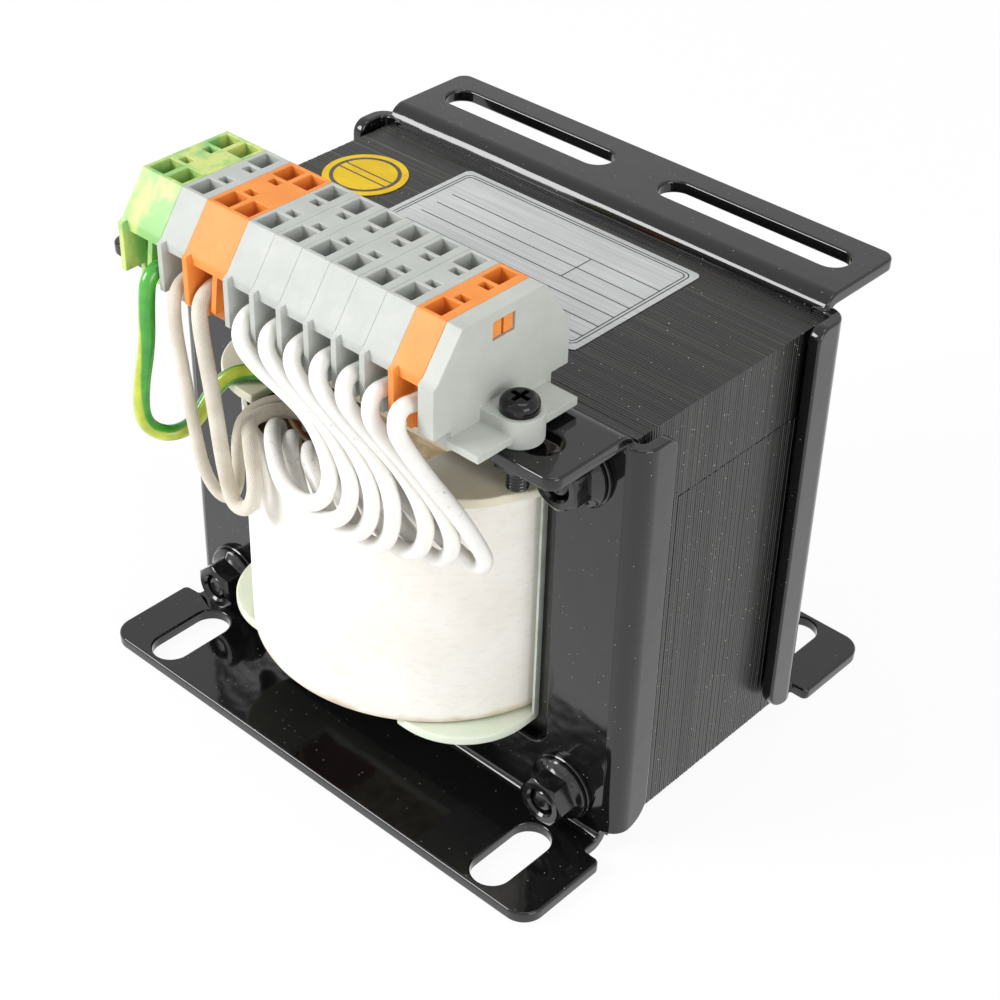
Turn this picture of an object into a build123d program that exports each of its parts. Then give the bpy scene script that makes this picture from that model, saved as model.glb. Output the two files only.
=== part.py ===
from build123d import *
from math import radians, tan
import os

os.makedirs("parts", exist_ok=True)

# The frame: X runs along the feet, the coil's terminal side is -Y, Z is up, and the feet stand on Z = 0.

# Core of E and I sheets
leg_width = 28.0  # centre leg; the outer legs, the yoke and the I are half as wide
core_width = 3 * leg_width
window_height = 1.5 * leg_width
stack_depth = 40.0
core_bottom = 1.2
side_leg = leg_width / 2
core_height = window_height + 2 * side_leg
core_top = core_bottom + core_height
window_bottom = core_bottom + side_leg
window_top = window_bottom + window_height
core_half = core_width / 2
stack_half = stack_depth / 2

# Through bolts
bolt_diameter = 4.0
bolt_hole_diameter = 4.6
bolt_x = core_half - side_leg / 2
bolt_low_z = core_bottom + side_leg / 2
bolt_high_z = core_top - side_leg / 2
hex_across_flats = 7.0
bolt_head_height = 2.8
nut_height = 4.6
nut_flange_diameter = 10.0
nut_flange_height = 1.0
nut_bore_clearance = 0.05
washer_diameter = 10.6
washer_thickness = 0.7
bolt_end_inset = 0.3

# Folded brackets
sheet = 2.0
bend_radius = 1.0  # inside a fold; also the gap between the core's side and the bracket's return
web_half = core_half
outer_half = core_half + bend_radius + sheet
foot_reach = 19.0  # from the web's outer face
foot_corner_radius = 3.5
relief_depth = 3.0
rail_reach = 14.0
rail_rise = 1.6  # over the core's top
rail_top = core_top + rail_rise
rear_flange_reach = 15.4
rear_flange_rise = 3.2
rear_flange_top = core_top + rear_flange_rise
flange_corner_radius = 2.0
return_length = 7.0  # from the web's outer face to the free edge
return_bottom = 3.6
return_lower_radius = 4.2
return_upper_radius = 2.2
return_top_drop = 1.8  # under the flange's top
coil_window_side_margin = 3.0  # past the core's window
coil_window_end_margin = 2.2
coil_window_half = core_half - side_leg + coil_window_side_margin
coil_window_bottom = window_bottom - coil_window_end_margin
coil_window_top = window_top + coil_window_end_margin
coil_window_radius = 3.0
foot_slot_width = 6.3
foot_slot_side_inset = 7.2
foot_slot_length = 14.3
foot_slot_x = core_half - foot_slot_side_inset
foot_slot_inset = 10.8  # from the web's outer face to the slot's middle
rear_slot_width = 5.4
rear_slot_end_inset = 3.6
rear_slot_bridge = 10.0  # between the two slots
rear_slot_length = web_half - rear_slot_end_inset - rear_slot_bridge / 2
rear_slot_x = (rear_slot_bridge + rear_slot_length) / 2
rear_slot_inset = 8.4

# Bobbin and windings
bobbin_clearance = 0.3
bobbin_wall = 1.2
flange_thickness = 1.5
bobbin_side_gap = 0.2
flange_reach = 15.0
bobbin_half_depth = stack_half + flange_reach
bobbin_corner_radius = 12.0
lead_gap_half = 14.0
lead_gap_inset = 1.8  # from the tube's outer face to the gap's inner end
coil_side_gap = 0.5
coil_round_inset = 7.1  # the coil's round ends start this far inside the stack's faces
coil_straight_half = stack_half - coil_round_inset
wrap_thickness = 0.8
winding_clearance = 0.2
screen_thickness = 0.3
insulation_thickness = 0.5
primary_share = 0.5
liner_thickness = 0.4

# Terminal strip; heights are over the rail, and Y sizes are from the strip's middle
strip_inset = 8.5  # from the web's outer face to the strip's middle
strip_y = -(stack_half + sheet + strip_inset)
pitch_small = 5.0
pitch_large = 8.0
block_height = 16.6
block_top_half = 7.4
shoulder_half = 12.4
shoulder_height = 10.1
base_half = 9.2
fin_low = 2.9
fin_thickness = 0.9
nose_half = 11.6
nose_low = 9.0
nose_high = 10.6
pocket_half = 8.6
pocket_height = 7.6
parting_fin_inset = 1.0
clamp_hole_width = 2.9
clamp_hole_length = 3.5
clamp_hole_y = 5.1
clamp_hole_floor = 3.2
clamp_hole_x = 2.1  # from the block's left side
test_hole_width = 1.8
test_hole_length = 1.3
test_hole_x = 2.6
test_hole_y = 2.1
test_hole_depth = 5.0
mouth_diameter = 3.6
mouth_depth = 1.0
mouth_z = 5.6
conductor_bore = 1.4
peg_width = 1.7
peg_gap = 0.4
peg_height = 2.5
peg_length = 0.8
peg_z = 13.9
peg_clearance = 0.1
end_plate_thickness = 2.6
end_foot_width = 5.3
end_foot_half = 9.2
end_foot_thickness = 1.1
end_foot_rise = 1.0  # over the rail
end_foot_shift = 0.9
end_foot_y = strip_y - end_foot_shift
boss_diameter = 6.6
boss_height = 4.0
boss_offset = 3.7
boss_bore_diameter = 3.3
rail_slot_width = 5.4
rail_slot_length = 14.0
rail_slot_inset = 11.0
rail_slot_x = core_half - rail_slot_inset
screw_in_slot = 1.3  # from the slot's middle to the strip's screw

# Clamp springs and current bars in the blocks
bar_width = 2.4
bar_thickness = 1.0
spring_sheet = 0.35
spring_height = 6.0
spring_mouth = 1.6
inner_gap = 0.15

# Fixing screw of the terminal strip
screw_diameter = 3.0
screw_head_diameter = 5.2
screw_head_height = 2.0
screw_head_rounding = 1.1
screw_clearance = 0.1
cross_length = 2.8
cross_width = 0.7
cross_depth = 1.2
screw_length = 11.7
screw_nut_flats = 5.5
screw_nut_height = 1.6
screw_washer_diameter = 7.0
screw_washer_thickness = 0.5

# Lead wires
lead_diameter = 2.3
thin_sleeve_diameter = 1.8
sleeve_diameter = 2.2
lead_rise = 2.3  # last straight run, up from the winding's top
lead_arc_share = 0.45  # of the shorter run beside a bend, taken up by its arc

# Labels
label_thickness = 0.15
label_width = 45.0
label_length = 27.8
label_rear_gap = 2.3
label_corner_radius = 1.0
sticker_diameter = 13.2
sticker_side_gap = 3.1
sticker_rear_gap = 8.0
label_gap = 3.5  # between the sticker and the label
sticker_x = sticker_side_gap + sticker_diameter / 2 - core_half
sticker_y = stack_half - sticker_rear_gap - sticker_diameter / 2
label_x = sticker_x + sticker_diameter / 2 + label_gap + label_width / 2
label_y = stack_half - label_rear_gap - label_length / 2


def write(builder, name):
    builder.part.label = name
    export_step(builder.part, f"parts/{name}.step")


# Core: the E sheets carry the centre leg, and the I sheets close them on top
bolt_places = [(x, z) for x in (-bolt_x, bolt_x) for z in (bolt_low_z, bolt_high_z)]

with BuildPart() as core_e_stack:
    with BuildSketch(Plane.XZ.offset(-stack_half)):
        with BuildLine():
            Polyline(
                (-core_half, core_bottom),
                (core_half, core_bottom),
                (core_half, window_top),
                (core_half - side_leg, window_top),
                (core_half - side_leg, window_bottom),
                (side_leg, window_bottom),
                (side_leg, window_top),
                (-side_leg, window_top),
                (-side_leg, window_bottom),
                (side_leg - core_half, window_bottom),
                (side_leg - core_half, window_top),
                (-core_half, window_top),
                close=True,
            )
        make_face()
        with Locations((-bolt_x, bolt_low_z), (bolt_x, bolt_low_z)):
            Circle(bolt_hole_diameter / 2, mode=Mode.SUBTRACT)
    extrude(amount=stack_depth)
write(core_e_stack, "core_e_stack")

with BuildPart() as core_i_stack:
    with BuildSketch(Plane.XZ.offset(-stack_half)):
        with Locations((0, bolt_high_z)):
            Rectangle(core_width, side_leg)
        with Locations((-bolt_x, bolt_high_z), (bolt_x, bolt_high_z)):
            Circle(bolt_hole_diameter / 2, mode=Mode.SUBTRACT)
    extrude(amount=stack_depth)
write(core_i_stack, "core_i_stack")


# Brackets: one folded sheet each, made here with the flanges towards -Y
def bracket(top, reach):
    """Foot, web, side returns and top flange, folded from one sheet."""
    web_y = -stack_half
    face_y = web_y - sheet
    relief_y = face_y - relief_depth
    with BuildPart() as folded:
        with BuildSketch(Plane.YZ) as fold:
            with BuildLine():
                Polyline(
                    (relief_y, 0),
                    (web_y, 0),
                    (web_y, top),
                    (relief_y, top),
                    (relief_y, top - sheet),
                    (face_y, top - sheet),
                    (face_y, sheet),
                    (relief_y, sheet),
                    close=True,
                )
            make_face()
            corners = fold.sketch_local.vertices()
            fillet(corners.filter_by(lambda v: abs(v.X - web_y) < 0.01), bend_radius + sheet)
            corners = fold.sketch_local.vertices()
            fillet(corners.filter_by(lambda v: abs(v.X - face_y) < 0.01), bend_radius)
        extrude(amount=web_half, both=True)

        # Foot and top flange, flat past the folds
        with BuildSketch() as foot:
            with Locations((0, relief_y - (foot_reach - relief_depth) / 2)):
                Rectangle(2 * outer_half, foot_reach - relief_depth)
            ends = foot.sketch_local.vertices()
            fillet(ends.group_by(Axis.Y)[0], foot_corner_radius)
            fillet(foot.sketch_local.vertices().group_by(Axis.Y)[-1], flange_corner_radius / 2)
        extrude(amount=sheet)
        with BuildSketch(Plane.XY.offset(top - sheet)) as flange:
            with Locations((0, relief_y - (reach - relief_depth) / 2)):
                Rectangle(2 * web_half, reach - relief_depth)
            ends = flange.sketch_local.vertices()
            fillet(ends.group_by(Axis.Y)[0], flange_corner_radius)
        extrude(amount=sheet)

        # Side returns, round the core's corners
        with BuildSketch(Plane.XY.offset(return_bottom)) as plan:
            for side in (-1, 1):
                with BuildLine():
                    Polyline(
                        (side * (web_half - sheet), face_y),
                        (side * outer_half, face_y),
                        (side * outer_half, face_y + return_length),
                        (side * (outer_half - sheet), face_y + return_length),
                        (side * (outer_half - sheet), web_y),
                        (side * (web_half - sheet), web_y),
                        close=True,
                    )
                make_face()
            corners = plan.sketch_local.vertices()
            outer = corners.filter_by(lambda v: abs(v.Y - face_y) < 0.01 and abs(v.X) > outer_half - 0.01)
            fillet(outer, bend_radius + sheet)
            corners = plan.sketch_local.vertices()
            inner = corners.filter_by(lambda v: abs(v.Y - web_y) < 0.01 and abs(v.X) > core_half)
            fillet(inner, bend_radius)
        return_top = top - return_top_drop
        extrude(amount=return_top - return_bottom)
        for end, radius in ((return_bottom, return_lower_radius), (return_top, return_upper_radius)):
            free_corners = folded.edges().filter_by(Axis.X).filter_by(
                lambda e: abs(e.center().Y - face_y - return_length) < 0.01
                and abs(e.center().Z - end) < 0.01
            )
            fillet(free_corners, radius)

        # Window for the coil, and the bolt holes
        with BuildSketch(Plane.XZ.offset(-web_y)):
            with Locations((0, (coil_window_bottom + coil_window_top) / 2)):
                RectangleRounded(
                    2 * coil_window_half, coil_window_top - coil_window_bottom, coil_window_radius
                )
            with Locations(bolt_places):
                Circle(bolt_hole_diameter / 2)
        extrude(amount=sheet, mode=Mode.SUBTRACT)

        # Slots in the foot
        with BuildSketch():
            with Locations(
                (-foot_slot_x, face_y - foot_slot_inset), (foot_slot_x, face_y - foot_slot_inset)
            ):
                SlotOverall(foot_slot_length, foot_slot_width, rotation=90)
        extrude(amount=sheet, mode=Mode.SUBTRACT)
    return folded


with BuildPart() as front_bracket:
    add(bracket(rail_top, rail_reach).part)
    with BuildSketch(Plane.XY.offset(rail_top - sheet)):
        with Locations((-rail_slot_x, strip_y), (rail_slot_x, strip_y)):
            SlotOverall(rail_slot_length, rail_slot_width)
    extrude(amount=sheet, mode=Mode.SUBTRACT)
write(front_bracket, "front_bracket")

with BuildPart() as rear_bracket:
    add(bracket(rear_flange_top, rear_flange_reach).part.rotate(Axis.Z, 180))
    with BuildSketch(Plane.XY.offset(rear_flange_top - sheet)):
        with Locations(
            (-rear_slot_x, stack_half + sheet + rear_slot_inset),
            (rear_slot_x, stack_half + sheet + rear_slot_inset),
        ):
            SlotOverall(rear_slot_length, rear_slot_width)
    extrude(amount=sheet, mode=Mode.SUBTRACT)
write(rear_bracket, "rear_bracket")


# Through bolts with their washers and flanged nuts
web_face = stack_half + sheet
washer_face = web_face + washer_thickness
nut_face = washer_face + nut_height

with BuildPart() as core_bolts:
    with BuildSketch(Plane.XZ.offset(-washer_face)):
        with Locations(bolt_places):
            Circle(bolt_diameter / 2)
    extrude(amount=washer_face + nut_face - bolt_end_inset)
    with BuildSketch(Plane.XZ.offset(-washer_face)):
        with Locations(bolt_places):
            RegularPolygon(hex_across_flats / 2, 6, major_radius=False)
    extrude(amount=-bolt_head_height)
write(core_bolts, "core_bolts")

with BuildPart() as core_washers:
    for face in (-washer_face, web_face):
        with BuildSketch(Plane.XZ.offset(-face)):
            with Locations(bolt_places):
                Circle(washer_diameter / 2)
                Circle(bolt_hole_diameter / 2, mode=Mode.SUBTRACT)
        extrude(amount=-washer_thickness)
write(core_washers, "core_washers")

with BuildPart() as core_nuts:
    with BuildSketch(Plane.XZ.offset(washer_face)):
        with Locations(bolt_places):
            Circle(nut_flange_diameter / 2)
    extrude(amount=nut_flange_height)
    with BuildSketch(Plane.XZ.offset(washer_face)):
        with Locations(bolt_places):
            RegularPolygon(hex_across_flats / 2, 6, major_radius=False)
    extrude(amount=nut_height)
    with BuildSketch(Plane.XZ.offset(washer_face)):
        with Locations(bolt_places):
            Circle(bolt_diameter / 2 + nut_bore_clearance)
    extrude(amount=nut_height, mode=Mode.SUBTRACT)
write(core_nuts, "core_nuts")


# Bobbin: a square tube on the centre leg with a flange at each end
tube_half_x = side_leg + bobbin_clearance + bobbin_wall
tube_half_y = stack_half + bobbin_clearance + bobbin_wall
bobbin_height = window_height - bobbin_clearance
bobbin_top = window_bottom + bobbin_height
flange_half_x = core_half - side_leg - bobbin_side_gap
lead_gap_start = tube_half_y + lead_gap_inset

with BuildPart() as bobbin:
    for flange_base in (window_bottom, bobbin_top - flange_thickness):
        with BuildSketch(Plane.XY.offset(flange_base)):
            RectangleRounded(2 * flange_half_x, 2 * bobbin_half_depth, bobbin_corner_radius)
            gap_length = bobbin_half_depth - lead_gap_start
            with Locations(
                (0, lead_gap_start + gap_length / 2), (0, -lead_gap_start - gap_length / 2)
            ):
                Rectangle(2 * lead_gap_half, gap_length, mode=Mode.SUBTRACT)
        extrude(amount=flange_thickness)
    with BuildSketch(Plane.XY.offset(window_bottom)):
        Rectangle(2 * tube_half_x, 2 * tube_half_y)
    extrude(amount=bobbin_height)
    with BuildSketch(Plane.XY.offset(window_bottom)):
        Rectangle(2 * (tube_half_x - bobbin_wall), 2 * (tube_half_y - bobbin_wall))
    extrude(amount=bobbin_height, mode=Mode.SUBTRACT)
write(bobbin, "bobbin")


# Windings from the inside out, each a closed layer round the one before
layer_bottom = window_bottom + flange_thickness
layer_height = bobbin_height - 2 * flange_thickness
wrap_half = core_half - side_leg - coil_side_gap
copper_half = wrap_half - wrap_thickness
between = screen_thickness + insulation_thickness
primary_half = tube_half_x + primary_share * (copper_half - tube_half_x - between)


def layer(name, inner_half, outer_half_x, height_cut):
    """A closed ring of one winding layer; the innermost one fits round the tube."""
    with BuildPart() as ring:
        with BuildSketch(Plane.XY.offset(layer_bottom + height_cut)):
            SlotOverall(2 * (coil_straight_half + outer_half_x), 2 * outer_half_x, rotation=90)
            if inner_half is None:
                Rectangle(2 * tube_half_x, 2 * tube_half_y, mode=Mode.SUBTRACT)
            else:
                SlotOverall(
                    2 * (coil_straight_half + inner_half),
                    2 * inner_half,
                    rotation=90,
                    mode=Mode.SUBTRACT,
                )
        extrude(amount=layer_height - 2 * height_cut)
    write(ring, name)


screen_half = primary_half + screen_thickness
secondary_inner = screen_half + insulation_thickness
layer("primary_winding", None, primary_half, winding_clearance)
layer("earth_screen", primary_half, screen_half, winding_clearance)
layer("winding_insulation", screen_half, secondary_inner, winding_clearance)
layer("secondary_winding", secondary_inner, copper_half, winding_clearance)
layer("coil_wrap", copper_half, wrap_half, winding_clearance)

# Insulating strips between the coil and the core's outer legs
with BuildPart() as window_liners:
    with BuildSketch(Plane.XY.offset(layer_bottom)):
        liner_x = core_half - side_leg - liner_thickness / 2
        with Locations((-liner_x, 0), (liner_x, 0)):
            Rectangle(liner_thickness, stack_depth + sheet)
    extrude(amount=layer_height)
write(window_liners, "window_liners")


# Terminal blocks: open on their right side, where the next block or the end plate closes them
def both_halves(half):
    """Corners of a side view on the rail, from its front half, listed from the base up."""
    front = [(strip_y - y, rail_top + z) for y, z in half]
    rear = [(strip_y + y, rail_top + z) for y, z in reversed(half)]
    return front + rear


wall_outline = [
    (base_half, 0),
    (base_half, fin_low),
    (shoulder_half, fin_low),
    (shoulder_half, shoulder_height),
    (nose_half, nose_high),
    (block_top_half, block_height),
]
body_outline = [
    (pocket_half, 0),
    (pocket_half, pocket_height),
    (nose_half, nose_low),
    (nose_half, nose_high),
    (block_top_half, block_height),
]
parting_outline = [
    (pocket_half, fin_low),
    (shoulder_half - parting_fin_inset, fin_low),
    (nose_half - parting_fin_inset, nose_low),
    (pocket_half, nose_low),
]
bar_length = 2 * clamp_hole_y + clamp_hole_length - 2 * inner_gap
peg_span = 2 * peg_width + peg_gap
mouth_face = pocket_half - mouth_depth


def columns(pitch):
    """Middles of a block's clamp holes, from its left side: one column, or two in a wide block."""
    return [clamp_hole_x] if pitch < pitch_large else [clamp_hole_x, pitch - clamp_hole_x]


def pockets(pitch):
    """Middles of a block's wire pockets, from its left side."""
    count = len(columns(pitch))
    step = pitch / count
    return [step * i + (step + fin_thickness) / 2 for i in range(count)]


def terminal_block(left, pitch, peg):
    """One moulded block with its clamp shafts, wire pockets and pegs."""
    with BuildPart() as block:
        with BuildSketch(Plane.YZ.offset(left)):
            with BuildLine():
                Polyline(*both_halves(wall_outline), close=True)
            make_face()
        extrude(amount=fin_thickness)
        with BuildSketch(Plane.YZ.offset(left)):
            with BuildLine():
                Polyline(*both_halves(body_outline), close=True)
            make_face()
        extrude(amount=pitch)
        for place in pockets(pitch)[1:]:
            with BuildSketch(Plane.YZ.offset(left + place - (pitch / 2 + fin_thickness) / 2)):
                for direction in (-1, 1):
                    with BuildLine():
                        Polyline(
                            *[(strip_y + direction * y, rail_top + z) for y, z in parting_outline],
                            close=True,
                        )
                    make_face()
            extrude(amount=fin_thickness)

        # Clamp shafts and test holes
        with BuildSketch(Plane.XY.offset(rail_top + block_height)):
            shafts = [
                (left + c, strip_y + d * clamp_hole_y) for c in columns(pitch) for d in (-1, 1)
            ]
            with Locations(shafts):
                Rectangle(clamp_hole_width, clamp_hole_length)
        extrude(amount=clamp_hole_floor - block_height, mode=Mode.SUBTRACT)
        with BuildSketch(Plane.XY.offset(rail_top + block_height)):
            with Locations([(left + test_hole_x, strip_y + d * test_hole_y) for d in (-1, 1)]):
                Rectangle(test_hole_width, test_hole_length)
        extrude(amount=-test_hole_depth, mode=Mode.SUBTRACT)

        # Round wire mouths, with a narrow bore for the bare conductor
        for direction in (-1, 1):
            mouths = [(left + place, rail_top + mouth_z) for place in pockets(pitch)]
            with BuildSketch(Plane.XZ.offset(-strip_y - direction * mouth_face)):
                with Locations(mouths):
                    Circle(mouth_diameter / 2)
            extrude(amount=-direction * mouth_depth, mode=Mode.SUBTRACT)
            with BuildSketch(Plane.XZ.offset(-strip_y - direction * mouth_face)):
                with Locations(mouths):
                    Circle(conductor_bore / 2)
            extrude(
                amount=direction * (mouth_face - clamp_hole_y - clamp_hole_length / 2),
                mode=Mode.SUBTRACT,
            )

        # Channel of the current bar, under the shafts
        with BuildSketch(Plane.XY.offset(rail_top + clamp_hole_floor)):
            with Locations([(left + c, strip_y) for c in columns(pitch)]):
                Rectangle(bar_width + 2 * inner_gap, bar_length + 2 * inner_gap)
        extrude(amount=bar_thickness + inner_gap, mode=Mode.SUBTRACT)

        # Window in the left wall for the neighbour's peg, and this block's own two-pronged peg
        with BuildSketch(Plane.YZ.offset(left)):
            with Locations((strip_y, rail_top + peg_z)):
                Rectangle(peg_span + 2 * peg_clearance, peg_height + 2 * peg_clearance)
        extrude(amount=peg_length + peg_clearance, mode=Mode.SUBTRACT)
        with BuildSketch(Plane.YZ.offset(left + pitch)):
            with Locations([(strip_y + d * (peg_width + peg_gap) / 2, rail_top + peg_z) for d in (-1, 1)]):
                Rectangle(peg_width, peg_height)
        extrude(amount=peg)
    return block


# The strip from left to right
strip = [
    ("terminal_green", pitch_large),
    ("terminal_grey_1", pitch_small),
    ("terminal_orange_1", pitch_large),
    ("terminal_grey_2", pitch_small),
    ("terminal_grey_3", pitch_small),
    ("terminal_grey_4", pitch_small),
    ("terminal_grey_5", pitch_small),
    ("terminal_grey_6", pitch_small),
    ("terminal_grey_7", pitch_small),
    ("terminal_orange_2", pitch_small),
]
strip_length = sum(pitch for name, pitch in strip)
boss_x = rail_slot_x + screw_in_slot
strip_right = boss_x - boss_offset - end_plate_thickness
strip_left = strip_right - strip_length
end_peg_length = end_plate_thickness - 3 * peg_clearance
clamp_places = []
mouth_places = []
left = strip_left
for name, pitch in strip:
    last = name == strip[-1][0]
    write(terminal_block(left, pitch, end_peg_length if last else peg_length), name)
    clamp_places += [left + c for c in columns(pitch)]
    mouth_places += [left + place for place in pockets(pitch)]
    left += pitch

# Current bars join each block's two clamps, and a folded spring stands on each end of a bar
bar_top = rail_top + clamp_hole_floor + bar_thickness
with BuildPart() as current_bars:
    with BuildSketch(Plane.XY.offset(rail_top + clamp_hole_floor)):
        with Locations([(x, strip_y) for x in clamp_places]):
            Rectangle(bar_width, bar_length)
    extrude(amount=bar_thickness)
write(current_bars, "current_bars")

with BuildPart() as clamp_springs:
    for x in clamp_places:
        with BuildSketch(Plane.YZ.offset(x - bar_width / 2)):
            with Locations([(strip_y + d * clamp_hole_y, bar_top + spring_height / 2) for d in (-1, 1)]):
                Rectangle(clamp_hole_length - 2 * inner_gap, spring_height)
                Rectangle(
                    clamp_hole_length - 2 * inner_gap - 2 * spring_sheet,
                    spring_height - 2 * spring_sheet,
                    mode=Mode.SUBTRACT,
                )
            with Locations(
                [(strip_y + d * (clamp_hole_y + clamp_hole_length / 2), rail_top + mouth_z) for d in (-1, 1)]
            ):
                Rectangle(clamp_hole_length, spring_mouth, mode=Mode.SUBTRACT)
        extrude(amount=bar_width)
write(clamp_springs, "clamp_springs")


# End plate with its foot and screw boss
with BuildPart() as terminal_end_plate:
    with BuildSketch(Plane.YZ.offset(strip_right)):
        with BuildLine():
            Polyline(*both_halves(wall_outline), close=True)
        make_face()
        with Locations((strip_y, rail_top + peg_z)):
            Rectangle(peg_span + 2 * peg_clearance, peg_height + 2 * peg_clearance, mode=Mode.SUBTRACT)
    extrude(amount=end_plate_thickness)
    with BuildSketch(Plane.XY.offset(rail_top + end_foot_rise)):
        with Locations((strip_right + end_plate_thickness + end_foot_width / 2, end_foot_y)):
            Rectangle(end_foot_width, 2 * end_foot_half)
    extrude(amount=end_foot_thickness)
    with BuildSketch(Plane.XY.offset(rail_top)):
        with Locations((boss_x, end_foot_y)):
            Circle(boss_diameter / 2)
        with Locations((boss_x - boss_offset / 2, end_foot_y)):
            Rectangle(boss_offset, boss_diameter)
    extrude(amount=boss_height)
    with BuildSketch(Plane.XY.offset(rail_top)):
        with Locations((boss_x, end_foot_y)):
            Circle(boss_bore_diameter / 2)
    extrude(amount=boss_height, mode=Mode.SUBTRACT)
write(terminal_end_plate, "terminal_end_plate")

# Pan-head screw through the boss and the rail's slot, with its washer and nut under the rail
head_base = rail_top + boss_height
rail_underside = rail_top - sheet
with BuildPart() as strip_screw:
    with BuildSketch(Plane.XY.offset(head_base)):
        with Locations((boss_x, end_foot_y)):
            Circle(screw_head_diameter / 2)
    extrude(amount=screw_head_height)
    fillet(strip_screw.edges().group_by(Axis.Z)[-1], screw_head_rounding)
    with BuildSketch(Plane.XY.offset(head_base + screw_head_height)):
        with Locations((boss_x, end_foot_y)):
            Rectangle(cross_length, cross_width)
            Rectangle(cross_width, cross_length)
    extrude(amount=-cross_depth, mode=Mode.SUBTRACT)
    with BuildSketch(Plane.XY.offset(head_base)):
        with Locations((boss_x, end_foot_y)):
            Circle(screw_diameter / 2)
    extrude(amount=-screw_length)
write(strip_screw, "strip_screw")

with BuildPart() as strip_washer:
    with BuildSketch(Plane.XY.offset(rail_underside)):
        with Locations((boss_x, end_foot_y)):
            Circle(screw_washer_diameter / 2)
            Circle(screw_diameter / 2 + screw_clearance, mode=Mode.SUBTRACT)
    extrude(amount=-screw_washer_thickness)
write(strip_washer, "strip_washer")

with BuildPart() as strip_nut:
    with BuildSketch(Plane.XY.offset(rail_underside - screw_washer_thickness)):
        with Locations((boss_x, end_foot_y)):
            RegularPolygon(screw_nut_flats / 2, 6, major_radius=False)
            Circle(screw_diameter / 2 + screw_clearance, mode=Mode.SUBTRACT)
    extrude(amount=-screw_nut_height)
write(strip_nut, "strip_nut")


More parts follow.
